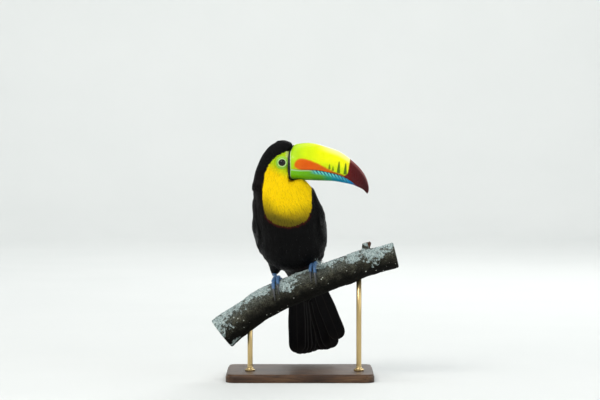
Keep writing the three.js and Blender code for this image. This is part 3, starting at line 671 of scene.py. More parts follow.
coat_paint, tree, shader = new_finish(
    "coat_paint", Sheen_Weight=0.01, Sheen_Roughness=0.4, Specular_IOR_Level=0.075)
colour, pale = marked_colour(tree)
chance = attribute(tree, "chance")
along = attribute(tree, "along")
barbs = node(tree, "ShaderNodeGroup", {"Count": 9.0, "Slant": 0.5, "Shaft": 0.16, "Along": along,
                                       "Across": attribute(tree, "across")}, node_tree=barbs_group)
varied = mix(tree, chance, (0.92, 0.9, 0.84), (1.05, 1.05, 1.05))
# painted shade and light: each feather darker toward its root, in the shade of the row above, and lighter at its tip
root_shade = mix(tree, along, (0.8, 0.75, 0.64), (1.12, 1.12, 1.1))
shade = mix(tree, 1.0, mix(tree, 1.0, colour, varied, "MULTIPLY"), root_shade, "MULTIPLY")
fine = scaled(tree, barbs.outputs["Height"], 0.16, 0.9)
lined = node(tree, "ShaderNodeCombineColor", {"Red": fine, "Green": fine, "Blue": fine})
tree.links.new(mix(tree, 1.0, shade, lined.outputs["Color"], "MULTIPLY"), shader.inputs["Base Color"])
rough = scaled(tree, pale, 0.28, 0.42)
tree.links.new(scaled(tree, chance, 0.12, rough), shader.inputs["Roughness"])
relief(tree, shader, barbs.outputs["Height"], 0.5, 0.0002)

sizes_at = sorted(FEATHERS)


def feather_size(place, column):
    """Spacing (0), length, width or height at the tip (3) of the feathers at a place down the spine."""
    return np.interp(place, sizes_at, [FEATHERS[p][column] for p in sizes_at])


def spacing_at(points):
    """How far apart the feathers' roots are, closer round the eyes and against the bill."""
    place, _ = along_body(points)
    spacing = feather_size(place, 0)
    nearest_eye = np.minimum(*[np.linalg.norm(points - eye_centre(s), axis=1) for s in (-1, 1)])
    ahead = in_bill_frame(points)[:, 0]
    fine = np.maximum(ease(19, 11, nearest_eye), ease(-12, -3, ahead) * ease(0.3, 0.2, place))
    return spacing * (1 - 0.25 * fine)


skin.data.calc_loop_triangles()
skin_faces = np.empty(len(skin.data.loop_triangles) * 3, dtype=np.int32)
skin.data.loop_triangles.foreach_get("vertices", skin_faces)
roots, normals = scatter(skin_points, skin_faces.reshape(-1, 3), spacing_at, ROOTS_TRIED)
place, turn = along_body(roots)
head = in_bill_frame(roots)
under_wing = (np.abs(in_wing(place, turn)) < 0.93) & (place > 0.43) & (place < 0.88)
at_eye = np.zeros(len(roots), dtype=bool)
for sign in (-1, 1):
    offset = head - in_bill_frame(eye_centre(sign)[None])
    at_eye |= (np.hypot(offset[:, 0], offset[:, 2]) < BARE) & (np.abs(offset[:, 1]) < 14)
bill_face = (head[:, 0] > -1.2) & (np.abs(normals @ forward) > 0.9) & (head[:, 2] > -34) & (place < 0.3)
keep = ~under_wing & ~at_eye & ~bill_face & (place < LAST_ROOT)
coat_roots, coat_normals, coat_place, coat_turn = roots[keep], normals[keep], place[keep], turn[keep]
roots, place = coat_roots, coat_place
coat_lies = lie_of(roots, coat_normals, place)
jitter = dice.uniform(0.88, 1.12, len(roots))
small = spacing_at(roots) / feather_size(place, 0)
# The shoulder's feathers lie over the wing's first coverts, and the nape's over those of the neck.
shoulder = ease(0.34, 0.41, place) * ease(1.2, 0.95, np.abs(in_wing(place, coat_turn)))
nape = ease(286.5, 290.5, roots[:, 2]) * ease(303, 296, roots[:, 2]) * ease(-8, -20, roots[:, 0])
nape = nape * ease(0.02, 0.06, place) * (1 - markings(roots)["yellow"])
sizes = [feather_size(place, 1) * jitter * small + STEP_OUT["longer"] * shoulder + STEP_OUT["longer"] * nape,
         feather_size(place, 2) * jitter * small,
         feather_size(place, 3) * jitter + STEP_OUT["higher"] * shoulder + STEP_OUT["higher"] * nape]
for name, (start, end, rows, columns) in REGIONS.items():
    vanes(name, (place >= start) & (place < end), rows, columns)

# ------------------------------------------------------------------ bill
# Two hollow halves of thin horn, much lighter than they look, with a smooth outer skin that carries
# the colours: lime to yellow with an orange flame, a green to blue lower half and a maroon hook.
# The cutting edges are toothed, and a black rim closes the bill's base against the face.

RIDGE = smooth_curve([
    (0, 0, 24.5), (6, 0, 30), (18, 0, 33), (36, 0, 33), (57, 0, 27.3), (76, 0, 20.6), (94, 0, 8.6),
    (108, 0, -4.2), (117.5, 0, -17.5), (122.4, 0, -31.5), (122.6, 0, -41.5), (120.6, 0, -45.4),
])
MOUTH = smooth_curve([
    (0, 0, -6.2), (16, 0, -7.8), (34, 0, -7.9), (50, 0, -9.6), (64, 0, -12.6), (77, 0, -16.2),
    (88, 0, -20.8), (98, 0, -27.4), (107, 0, -34), (114.5, 0, -39), (119, 0, -43.6), (120.6, 0, -45.4),
])
UNDERSIDE = smooth_curve([
    (0, 0, -24.6), (20, 0, -24.2), (44, 0, -25), (68, 0, -25.9), (84, 0, -28.4), (98, 0, -31.4),
    (101.4, 0, -32.6),
])
HALF_WIDTH = [(0, 19.5), (12, 19), (40, 15.4), (70, 11), (95, 7.4), (112, 4.4), (119, 2.3), (123, 0.9)]
LOWER_REACH = 0.775  # the lower half ends this far along the mouth
MOUTH_GAP = 0.3
TEETH = {"from": 32.0, "to": 93.0, "pitch": 4.6, "depth": 0.5}
FLAME_TOP = [(8.4, -9), (8.8, 0), (9.8, 3.2), (12.0, 6.6), (15.5, 8.8), (19.5, 9.4), (24, 8.9), (34, 6.2),
             (46, 1.2), (53, -2.6), (60, -6.4), (70, -11.0), (82, -15.0), (92, -19.5)]
FLAME_FOOT = [(8.4, -9.2), (8.8, -0.5), (9.8, -3.4), (12, -5.6), (15, -7.0), (20, -8.6), (26, -14), (92, -40)]
HOOK_EDGE = [(-40, 99.0), (-24, 90.0), (-18.5, 84.0), (-15, 89.5), (-12, 91.3), (7.5, 94.0), (14, 94.6)]
TICKS = [  # ahead, foot, top, half width and strength of each dark mark over the teeth
    (56.5, -4.5, -0.2, 1.0, 0.4), (62.6, -7.0, 3.4, 1.35, 0.75), (68.0, -9.0, 0.0, 1.2, 0.75),
    (76.6, -12.5, 7.2, 1.75, 1.0), (86.8, -14.5, 4.6, 1.75, 1.0), (93.4, -10, 4.5, 0.8, 0.45),
]
BAR_PITCH = 5.5  # between the dark slanting bars on the lower half
RIM_UPPER = [(0, 0.4), (0.2, 0.4), (0.45, 0.0), (0.7, -0.5), (0.85, -0.2), (0.93, 1.6), (1, 5.2)]
RIM_LOWER = [(0, 0.4), (0.3, 0.2), (0.6, -0.2), (0.8, 0.8), (0.92, 4.5), (1, 13.0)]


def each_axis(points, at):
    """Points read off a line of points at numbers along it."""
    return np.stack([np.interp(at, np.arange(len(points)), points[:, k]) for k in range(3)], axis=-1)


def at_share(curve, share):
    """Points on a curve at shares of its length."""
    return each_axis(curve, np.clip(share, 0, 1) * (len(curve) - 1))


def flowing(pairs, value):
    """A value that runs smoothly through pairs as their places grow."""
    at, level = np.array(pairs, dtype=float).T
    slope = np.gradient(level, at)
    slope[1:-1] = (level[2:] - level[:-2]) / (at[2:] - at[:-2])
    value = np.clip(value, at[0], at[-1])
    i = np.clip(np.searchsorted(at, value, side="right") - 1, 0, len(at) - 2)
    width = at[i + 1] - at[i]
    t = (value - at[i]) / width
    return ((2 * t**3 - 3 * t**2 + 1) * level[i] + (t**3 - 2 * t**2 + t) * width * slope[i]
            + (3 * t**2 - 2 * t**3) * level[i + 1] + (t**3 - t**2) * width * slope[i + 1])


def teeth_at(ahead):
    """How deep the toothed edge is cut at a distance ahead of the bill's base."""
    span = ease(TEETH["from"], TEETH["from"] + 8, ahead) * ease(TEETH["to"], TEETH["to"] - 8, ahead)
    wave = 0.5 - 0.5 * np.cos((ahead - TEETH["from"]) / TEETH["pitch"] * 2 * math.pi)
    return TEETH["depth"] * span * wave**2


def bill_upper_points(stations, steps):
    """Sections of the upper half in the bill's frame, and how high each point is: 0 mouth, 1 ridge."""
    t = 0.992 * np.linspace(0, 1, stations)[:, None] ** 0.9
    i = np.linspace(-1, 1, 2 * steps + 1)[None]
    i = np.sign(i) * (1 - (1 - np.abs(i)) ** 0.9)
    height = 1 - np.abs(i)
    low, high = at_share(MOUTH, t), at_share(RIDGE, t)
    width = flowing(HALF_WIDTH, (low[..., 0] + high[..., 0]) / 2)
    bulge = 0.95 + 0.08 * np.sin(math.pi * np.minimum(height * 1.4, 1))
    side = np.sign(i) * width * bulge * (1 - height**2.3) ** 0.66
    at = low + (high - low) * height[..., None]
    edge = teeth_at(at[..., 0]) * ease(0.12, 0, height)
    return np.stack([at[..., 0], side, at[..., 2] + edge], axis=-1), height


def bill_lower_points(stations, steps):
    """Sections of the lower half in the bill's frame, and how low each point is: 0 mouth, 1 underside."""
    share = np.linspace(0, 1, stations)[:, None]
    i = np.linspace(-1, 1, 2 * steps + 1)[None]
    depth = 1 - np.abs(i)
    high = at_share(MOUTH, share * LOWER_REACH) - np.array([0, 0, MOUTH_GAP])
    low = at_share(UNDERSIDE, share)
    taper = np.sqrt(1 - share**6) * 0.94 + 0.05
    width = flowing(HALF_WIDTH, high[..., 0]) * 0.95 * taper
    side = np.sign(i) * width * (1 - depth**2.6) ** 0.6
    at = high + (low - high) * depth[..., None]
    edge = teeth_at(at[..., 0]) * ease(0.2, 0, depth)
    return np.stack([at[..., 0], side, at[..., 2] - edge], axis=-1), depth


def from_bill(local):
    """Bird coordinates of points given in the bill's own frame."""
    return BILL_BASE + local[..., :1] * forward + local[..., 1:2] * leftward + local[..., 2:3] * upward


def tube_quads(rings, count):
    """Faces between rings of points, each closed on itself."""
    index = np.arange(rings * count).reshape(rings, count)
    after = np.roll(index, -1, axis=1)
    return np.stack([index[:-1], after[:-1], after[1:], index[1:]], axis=-1).reshape(-1, 4)


def end_fans(rings, count):
    """Faces that close a tube of rings to a point in the middle of each end, numbered after the rings."""
    hub, last, turn = rings * count, (rings - 1) * count, np.arange(count)
    after = (turn + 1) % count
    return np.concatenate([np.stack([np.full(count, hub), after, turn], axis=-1),
                           np.stack([np.full(count, hub + 1), last + turn, last + after], axis=-1)])


def merged(name, tubes):
    """A piece of closed tubes of rings: its points, and how far along its own tube each of them is."""
    points, quads, tris, reach = [], [], [], []
    for rings in tubes:
        start, size = sum(len(p) for p in points), rings.shape[:2]
        points.append(np.concatenate([rings.reshape(-1, 3), [rings[0].mean(axis=0), rings[-1].mean(axis=0)]]))
        quads.append(tube_quads(*size) + start)
        tris.append(end_fans(*size) + start)
        reach.append(np.append(np.repeat(np.linspace(0, 1, size[0]), size[1]), (0, 1)))
    points = np.concatenate(points)
    piece = outside(build_mesh(name, to_row(points), np.concatenate(quads), np.concatenate(tris)))
    return piece, points, np.concatenate(reach)


def outside(piece):
    """Turns a piece's faces to look outward."""
    shape = bmesh.new()
    shape.from_mesh(piece.data)
    bmesh.ops.recalc_face_normals(shape, faces=shape.faces)
    shape.to_mesh(piece.data)
    return piece


def streak(tree, value, low, high):
    """1 over high, 0 under low and smooth between, for a socket."""
    return node(tree, "ShaderNodeMapRange", {"Value": value, "From Min": low, "From Max": high},
                interpolation_type="SMOOTHSTEP").outputs["Result"]


# Horn: faint growth lines along the bill, cloudy patches and a few fine scuffs.
horn_group, given, out = group_of(
    "horn", {"Ahead": 0.0, "Up": 0.0, "Contrast": 0.1},
    {"Shade": "NodeSocketColor", "Rough": "NodeSocketFloat", "Height": "NodeSocketFloat",
     "Wander": "NodeSocketFloat"})
tree = horn_group
flat = node(tree, "ShaderNodeCombineXYZ", {"X": times(tree, given["Ahead"], 0.035), "Y": given["Up"]})
lines = clouds(tree, 0.9, 3.0, Vector=flat.outputs[0])
spread = node(tree, "ShaderNodeCombineXYZ", {"X": given["Ahead"], "Y": given["Up"]})
cloud = clouds(tree, 0.09, 2.0, Vector=spread.outputs[0])
wander = clouds(tree, 0.55, 2.0, Vector=spread.outputs[0])
both = plus(tree, times(tree, lines, 0.6), cloud)
value = scaled(tree, maths(tree, "SUBTRACT", both, 0.8), given["Contrast"], 1.0)
level = node(tree, "ShaderNodeCombineColor", {"Red": value, "Green": value, "Blue": value})
tree.links.new(level.outputs[0], out["Shade"])
tree.links.new(scaled(tree, wander, 0.16, 0.2), out["Rough"])
tree.links.new(plus(tree, lines, times(tree, cloud, 1.5)), out["Height"])
tree.links.new(times(tree, maths(tree, "SUBTRACT", wander, 0.5), 2.0), out["Wander"])


def horn_finish(name, paint, contrast):
    """Polished horn. paint(tree, at, wander) gives its colour from the distances ahead and up."""
    material, tree, shader = new_finish(name, Coat_Weight=0.1, Coat_Roughness=0.1, Specular_IOR_Level=0.15)
    at = {key: attribute(tree, key) for key in ("ahead", "up")}
    horn = node(tree, "ShaderNodeGroup", {"Contrast": contrast, "Ahead": at["ahead"], "Up": at["up"]},
                node_tree=horn_group)
    colour = paint(tree, at, horn.outputs["Wander"])
    tree.links.new(mix(tree, 1.0, colour, horn.outputs["Shade"], "MULTIPLY"), shader.inputs["Base Color"])
    tree.links.new(horn.outputs["Rough"], shader.inputs["Roughness"])
    relief(tree, shader, horn.outputs["Height"], 0.25, 0.0003)
    return material


def ramp(tree, value, stops):
    """A colour that runs through stops [(place, colour), ...] as the value grows."""
    low, high = stops[0][0], stops[-1][0]
    share = node(tree, "ShaderNodeMapRange", {"Value": value, "From Min": low, "From Max": high})
    made = node(tree, "ShaderNodeValToRGB", {"Fac": share.outputs["Result"]})
    made.color_ramp.interpolation = "EASE"
    elements = made.color_ramp.elements
    elements[0].color, elements[1].color = (*stops[0][1], 1), (*stops[-1][1], 1)
    for place, colour in stops[1:-1]:
        elements.new((place - low) / (high - low)).color = (*colour, 1)
    return made.outputs["Color"]


def loose(tree, name, wander, most):
    """A stored distance whose edges wander by so many millimetres at most."""
    return plus(tree, attribute(tree, name), times(tree, wander, most))


def paint_upper(tree, at, wander):
    """Lime to yellow, the flame over the mouth, dark ticks and the maroon hook, with a painted highlight along the
    ridge and the hook's top.
    """
    body = ramp(tree, at["ahead"], [
        (0, (0.29, 0.54, 0.001)), (10, (0.4, 0.62, 0.001)), (30, (0.56, 0.7, 0.001)),
        (52, (0.74, 0.77, 0.0)), (80, (0.78, 0.78, 0.002)), (96, (0.76, 0.7, 0.01))])
    low = streak(tree, loose(tree, "over_mouth", wander, 2.0), 19, 7)
    low = times(tree, low, streak(tree, at["ahead"], 34, 62))
    body = mix(tree, times(tree, low, 0.7), body, (0.42, 0.66, 0.001))
    rise = attribute(tree, "rise")
    # painted highlight: a pale streak along the ridge
    ridge_highlight = times(tree, streak(tree, rise, 0.72, 0.96), streak(tree, at["ahead"], 40, 72))
    body = mix(tree, times(tree, ridge_highlight, 0.6), body, (0.97, 0.95, 0.42))
    tick = streak(tree, loose(tree, "tick", wander, 0.3), 0.15, 0.85)
    body = mix(tree, times(tree, tick, 0.93), body, (0.04, 0.12, 0.002))
    flame = streak(tree, loose(tree, "blaze", wander, 0.9), -1.9, 1.7)
    fire = ramp(tree, at["ahead"], [
        (5, (0.64, 0.12, 0.0)), (30, (0.64, 0.09, 0.0)), (58, (0.58, 0.105, 0.001)),
        (74, (0.3, 0.065, 0.003)), (92, (0.15, 0.018, 0.004))])
    body = mix(tree, flame, body, fire)
    tip = streak(tree, loose(tree, "tip", wander, 1.2), -1.1, 0.8)
    hook = ramp(tree, at["ahead"], [(86, (0.13, 0.006, 0.004)), (100, (0.065, 0.003, 0.004)),
                                    (123, (0.035, 0.003, 0.004))])
    # painted highlight: a pinkish line along the hook's ridge
    hook = mix(tree, times(tree, streak(tree, rise, 0.8, 0.96), 0.4), hook, (0.4, 0.15, 0.14))
    body = mix(tree, tip, body, hook)
    edge = streak(tree, attribute(tree, "from_rim"), 3.6, 2.5)
    return mix(tree, times(tree, edge, 0.85), body, (0.68, 0.84, 0.36))


def paint_lower(tree, at, wander):
    """Green to blue, with dark bars on its paler edge, a light line by the mouth, a dark tip and painted shade
    toward its underside.
    """
    below = attribute(tree, "under_mouth")
    shifted = plus(tree, at["ahead"], times(tree, wander, 3.0))
    body = ramp(tree, shifted, [
        (0, (0.15, 0.46, 0.002)), (24, (0.12, 0.39, 0.002)), (48, (0.09, 0.31, 0.01)),
        (61, (0.02, 0.28, 0.12)), (70, (0.001, 0.23, 0.31)), (80, (0.0, 0.2, 0.37)),
        (96, (0.002, 0.17, 0.4)), (103, (0.1, 0.05, 0.12))])
    # painted shade: darker toward the underside
    body = mix(tree, times(tree, streak(tree, below, 10, 17), 0.5), body, (0.01, 0.09, 0.06))
    along_edge = times(tree, streak(tree, at["ahead"], 31, 43), streak(tree, at["ahead"], 96, 84))
    fading = scaled(tree, streak(tree, at["ahead"], 62, 86), -0.55, 0.85)
    lip = times(tree, streak(tree, below, 7.5, 2.5), along_edge)
    body = mix(tree, times(tree, lip, fading), body, (0.13, 0.6, 0.58))
    hairline = times(tree, streak(tree, below, 2.6, 1.2), streak(tree, at["ahead"], 44, 30))
    body = mix(tree, times(tree, hairline, 0.6), body, (0.5, 0.68, 0.42))
    bar = streak(tree, loose(tree, "bar", wander, 0.2), 0.15, 0.75)
    body = mix(tree, times(tree, bar, along_edge), body, (0.001, 0.08, 0.14))
    edge = streak(tree, attribute(tree, "from_rim"), 3.5, 2.5)
    return mix(tree, times(tree, edge, 0.7), body, (0.45, 0.66, 0.32))


def half_of_bill(name, local, share, rim):
    """A closed half through its sections: the piece, its points ahead and up, and what both halves store."""
    piece, points, _ = merged(name, [from_bill(local)])
    ahead, _, up = in_bill_frame(points).T
    share = np.broadcast_to(share, local.shape[:2]).ravel()
    over_mouth = up - curve_value([(m[0], m[2]) for m in MOUTH], ahead)
    from_rim = ahead - np.append(curve_value(rim, share), (0, 0))
    for key, value in (("ahead", ahead), ("up", up), ("from_rim", from_rim)):
        store(piece, key, value)
    return piece, ahead, up, over_mouth, share


upper_local, rise = bill_upper_points(170, 40)
bill_upper, ahead, up, over_mouth, share = half_of_bill("bill_top", upper_local, rise, RIM_UPPER)
tick = np.zeros(len(ahead))
for at, foot, top, half, strength in TICKS:
    shaped = 1.35 * half * np.clip((top - up) / (top - foot), 0, 1) ** 0.8 + 0.1
    aside = np.abs(ahead - at - 0.05 * (up - foot))
    here = ease(shaped + 1.5, shaped - 1.1, aside) * ease(foot - 1.5, foot, up) * ease(top, top - 4.0, up)
    tick = np.maximum(tick, here * strength)
for key, value in (("rise", np.append(share, (0, 1))), ("over_mouth", over_mouth), ("tick", tick),
                   ("blaze", within(FLAME_TOP + FLAME_FOOT[::-1], ahead, up)),
                   ("tip", ahead - curve_value(HOOK_EDGE, up))):
    store(bill_upper, key, value)
bill_upper.data.materials.append(horn_finish("bill_top_horn", paint_upper, 0.22))
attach(bill_upper, "root")
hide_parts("bill_upper")

lower_local, sink = bill_lower_points(130, 26)
bill_lower, ahead, up, over_mouth, _ = half_of_bill("bill_bottom", lower_local, sink, RIM_LOWER)
under = -MOUTH_GAP - over_mouth
run = (ahead - 31 - 0.75 * under) / BAR_PITCH
bar = ease(0.3, 0.14, np.abs(run - np.round(run)) + 0.016 * under) * ease(8.0, 4.0, under)
store(bill_lower, "under_mouth", under)
store(bill_lower, "bar", bar)
bill_lower.data.materials.append(horn_finish("bill_bottom_horn", paint_lower, 0.22))
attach(bill_lower, "root")
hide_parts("bill_lower")

# The rim runs round both halves a little ahead of the face, further ahead over the ridge and under
# the chin. Its section is (ahead, out) in millimetres.
RIM_SPOTS = 140
RIM = [(-1.9, -1.2), (-1.6, 0.35), (-0.9, 0.8), (0, 0.9), (1.8, 0.65), (2.25, 0.15), (2.2, -0.8)]


def line_on(grid, reach):
    """Where each column of a half's grid is as far ahead as its reach, and the way out there."""
    found, ways = [], []
    for j, target in enumerate(reach):
        column = grid[:, j]
        row = np.interp(target, column[:, 0], np.arange(len(column)))
        at = each_axis(column, row)
        at[0] = target
        near = int(np.clip(row, 1, len(column) - 2))
        around = grid[near, min(j + 1, len(reach) - 1)] - grid[near, max(j - 1, 0)]
        found.append(at)
        ways.append(np.cross(grid[near + 1, j] - grid[near - 1, j], around))
    return np.array(found), unit(np.array(ways))


top_line, top_ways = line_on(upper_local, curve_value(RIM_UPPER, rise[0]))
low_line, low_ways = line_on(lower_local, curve_value(RIM_LOWER, sink[0]))
loop = np.concatenate([top_line, low_line[::-1][1:-1]])
ways = np.concatenate([top_ways, low_ways[::-1][1:-1]])
ways *= np.sign(np.sum(ways * (loop - loop.mean(axis=0)) * (0, 1, 1), axis=1))[:, None]
closed = np.concatenate([loop, loop[:1]])
step = np.concatenate([[0], np.cumsum(np.linalg.norm(np.diff(closed, axis=0), axis=1))])
pick = np.interp(np.linspace(0, step[-1], RIM_SPOTS, endpoint=False), step, np.arange(len(step)))
loop, ways = [each_axis(np.concatenate([one, one[:1]]), pick) for one in (loop, ways)]
for _ in range(3):
    loop, ways = [np.mean([np.roll(one, turn, axis=0) for turn in (-1, 0, 0, 1)], axis=0)
                  for one in (loop, ways)]
ways = unit(ways)
onward = np.cross(unit(np.roll(loop, -1, axis=0) - np.roll(loop, 1, axis=0)), ways)
onward = unit(onward * np.sign(onward[:, :1]))
rings = np.array([from_bill(loop + onward * ahead_by + ways * out_by) for ahead_by, out_by in RIM + RIM[:1]])
rim = outside(build_mesh("bill_rim", to_row(rings.reshape(-1, 3)), tube_quads(len(rings), RIM_SPOTS)))
rim_paint, tree, shader = new_finish("rim_skin", Specular_IOR_Level=0.4)
pores = pebbles(tree, 1500.0)
tree.links.new(mix(tree, pores, (0.004, 0.004, 0.005), (0.014, 0.013, 0.013)), shader.inputs["Base Color"])
tree.links.new(scaled(tree, pores, 0.3, 0.42), shader.inputs["Roughness"])
relief(tree, shader, pores, 0.4, 0.0002)
rim.data.materials.append(rim_paint)
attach(rim, "root")

# ------------------------------------------------------------------ eyes
# Dark brown eyes set in lids of bare lime-green skin, a wrinkled ring that is thickest at its rim
# and dies out under the feathers of the face.

BALL_ROWS, BALL_SPOTS = 33, 48
LID_ROWS, LID_SPOTS = 37, 56
LID = [  # distance from the eye's axis and height over its centre, in millimetres
    (5.15, 3.3), (5.4, 4.05), (5.75, 4.6), (6.15, 4.85), (6.6, 4.8), (7.0, 4.55), (7.35, 4.2), (7.65, 4.02),
    (8.0, 4.15), (8.5, 4.15), (9.1, 3.85), (9.8, 3.35), (10.6, 2.7),
]

eye_paint, tree, shader = new_finish(
    "eye_gloss", Roughness=0.06, Coat_Weight=0.45, Coat_Roughness=0.02, Specular_IOR_Level=0.1)
ring_at = attribute(tree, "from_axis")
fibre = clouds(tree, 1600.0, 3.0)
shown = scaled(tree, fibre, 0.5, maths(tree, "SUBTRACT", ring_at, 0.25))
tint = ramp(tree, shown, [
    (0, (0.002, 0.002, 0.002)), (2.7, (0.002, 0.002, 0.002)), (3.0, (0.008, 0.004, 0.002)),
    (4.3, (0.013, 0.006, 0.003)), (5.1, (0.004, 0.003, 0.002)), (6.3, (0.005, 0.004, 0.004))])
tree.links.new(tint, shader.inputs["Base Color"])

lid_paint, tree, shader = new_finish("eyelid_skin", Specular_IOR_Level=0.45, Sheen_Weight=0.05)
ring_at = attribute(tree, "from_axis")
cells = pebbles(tree, 1300.0)
mottle = clouds(tree, 420.0, 3.0)
moved = scaled(tree, maths(tree, "SUBTRACT", mottle, 0.5), 0.9, ring_at)
tint = ramp(tree, moved, [
    (5.1, (0.03, 0.06, 0.02)), (5.5, (0.4, 0.6, 0.25)), (6.1, (0.66, 0.88, 0.42)),
    (6.9, (0.44, 0.72, 0.12)), (7.5, (0.09, 0.22, 0.02)), (8.1, (0.28, 0.6, 0.03)),
    (9.2, (0.33, 0.64, 0.02)), (10.6, (0.36, 0.6, 0.01))])
tree.links.new(mix(tree, times(tree, cells, 0.5), tint, (0.2, 0.4, 0.02)), shader.inputs["Base Color"])
tree.links.new(scaled(tree, cells, 0.3, 0.42), shader.inputs["Roughness"])
relief(tree, shader, cells, 0.6, 0.0003)

for side, sign in (("right", -1), ("left", 1)):
    centre, axis = eye_centre(sign), leftward * sign
    profile = [(EYE["radius"] * math.sin(a) + 1e-4, EYE["radius"] * math.cos(a))
               for a in np.linspace(0, math.pi, BALL_ROWS)]
    ball, faces = lathe(profile, BALL_SPOTS)
    ball = centre + ball[:, :1] * forward + ball[:, 1:2] * upward + ball[:, 2:] * axis
    eye = outside(build_mesh(f"eyeball_{side}", to_row(ball), faces))
    from_axis = np.hypot(*[(ball - centre) @ way for way in (forward, upward)])
    store(eye, "from_axis", from_axis + np.where((ball - centre) @ axis < 0, 6.0, 0.0))
    eye.data.materials.append(eye_paint)
    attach(eye, "root")
    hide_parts(f"eye_{side}")

    angles = circle(LID_SPOTS)
    rows = np.linspace(0, len(LID) - 1, LID_ROWS)
    reach, lift = [np.interp(rows, range(len(LID)), column) for column in zip(*LID)]
    around = forward[None] * np.cos(angles)[:, None] + upward[None] * np.sin(angles)[:, None]
    seat = onto_skin(centre + around * 10.4 + axis * 2.5, np.full(LID_SPOTS, 0.5))
    seat_height = (seat - centre) @ axis
    rings = []
    for r, h in zip(reach, lift):
        wrinkle = 0.1 * np.sin(angles * 23 + r * 3) * ease(5.4, 6.6, r) * ease(10.4, 8.4, r)
        shape = 1 + 0.03 * np.cos(2 * angles)  # a little longer than it is high
        height = h + (seat_height - LID[-1][1]) * ease(6.4, 10.2, r) + wrinkle
        rings.append(centre + around * (r * shape)[:, None] + axis * height[:, None])
    quads = tube_quads(LID_ROWS, LID_SPOTS)
    lid = build_mesh(f"eyelids_{side}", to_row(np.concatenate(rings)), quads if sign > 0 else quads[:, ::-1])
    store(lid, "from_axis", np.repeat(reach, LID_SPOTS))
    lid.data.materials.append(lid_paint)
    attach(lid, "root")
    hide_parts(f"lid_{side}")

# ------------------------------------------------------------------ wings
# The folded wings: stiff black quills down to the rump, broad coverts like tiles over their bases and
# smaller ones toward the shoulder. Each vane is stiff and a little cupped, with its shaft as a ridge.

QUILLS = {  # row: count, half width, height off the skin at the tip, then place and share across at
    # the roots and at the tips, each from the lower edge of the wing to its upper edge
    "primaries": (9, 6.6, 1.2, (0.50, 0.47), (-0.78, -0.1), (0.80, 0.885), (-0.75, 0.55)),
    "secondaries": (9, 8.6, 1.9, (0.47, 0.45), (-0.35, 0.55), (0.79, 0.77), (-0.35, 0.9)),
    "tertials": (3, 9.6, 2.4, (0.45, 0.44), (0.5, 0.8), (0.79, 0.74), (0.7, 0.93)),
    "greater_coverts": (12, 6.8, 2.9, (0.425, 0.425), (-0.8, 0.86), (0.62, 0.59), (-0.86, 0.9)),
    "median_coverts": (15, 5.4, 3.3, (0.41, 0.41), (-0.88, 0.9), (0.525, 0.51), (-0.9, 0.92)),
    "lesser_coverts": (18, 4.4, 3.4, (0.39, 0.39), (-0.95, 0.95), (0.465, 0.46), (-0.96, 0.95)),
}


def wing_points(place, share, sign):
    """Points of the skin under a folded wing, by place down the spine and share across the wing."""
    reach = body_radius(place)
    angle = np.radians(curve_value(WING["angle"], place)) + share * curve_value(WING["half"], place) / reach
    angle = np.minimum(angle, math.pi / 2 - 0.5 / reach)
    index = np.minimum(place * (len(spine) - 1), len(spine) - 1).astype(int)
    found = np.empty((len(place), 3))
    for i, (k, a) in enumerate(zip(index, angle)):
        way = spine_side[k] * sign * math.cos(a) + spine_back[k] * math.sin(a)
        far = spine[k] + way * 90
        hit = skin_tree.ray_cast(Vector(far), Vector(-way))[0]
        found[i] = hit if hit is not None else far
    return found


def between(ends, share):
    """A value a share of the way from one end to the other."""
    return ends[0] + (ends[1] - ends[0]) * share


quill_paint, tree, shader = new_finish(
    "quill_paint", Specular_IOR_Level=0.13, Sheen_Weight=0.01, Sheen_Roughness=0.4)
along, across, chance = [attribute(tree, name) for name in ("along", "across", "chance")]
barbs = node(tree, "ShaderNodeGroup", {
    "Count": 130.0, "Slant": 0.12, "Shaft": 0.07, "Along": along, "Across": across}, node_tree=barbs_group)
gloss = clouds(tree, 60.0, 2.0)
tint = mix(tree, gloss, (0.0014, 0.0015, 0.002), (0.0026, 0.0028, 0.0038))
worn = times(tree, streak(tree, along, 0.86, 1.02), scaled(tree, chance, 0.5, 0.2))
tint = mix(tree, worn, tint, (0.012, 0.01, 0.009))
tint = mix(tree, times(tree, barbs.outputs["Shaft"], 0.7), tint, (0.018, 0.016, 0.015))
# painted highlight: the vanes' edges paler, so the black quills stand apart from each other
edge_highlight = streak(tree, maths(tree, "ABSOLUTE", across), 0.82, 0.98)
tint = mix(tree, times(tree, edge_highlight, 0.7), tint, (0.026, 0.025, 0.025))
tree.links.new(tint, shader.inputs["Base Color"])
tree.links.new(scaled(tree, gloss, 0.25, 0.34), shader.inputs["Roughness"])
relief(tree, shader, barbs.outputs["Height"], 0.35, 0.0002)


def finish_quills(name, points, quads, each, place, turn, replaced=()):
    """A piece of quills on grids of rows along and columns across, with all that its paint and map need."""
    piece = build_mesh(name, to_row(points), quads)
    chance = dice.random((each[0], *[1] * (len(each) - 1)))
    for key, value in (("along", along[:, None]), ("across", across), ("chance", chance)):
        store(piece, key, np.broadcast_to(value, each))
    bake_map(piece, place, turn, along[:, None], across, each)
    piece.data.materials.append(quill_paint)
    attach(piece, "root")
    for one in replaced:
        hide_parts(one)


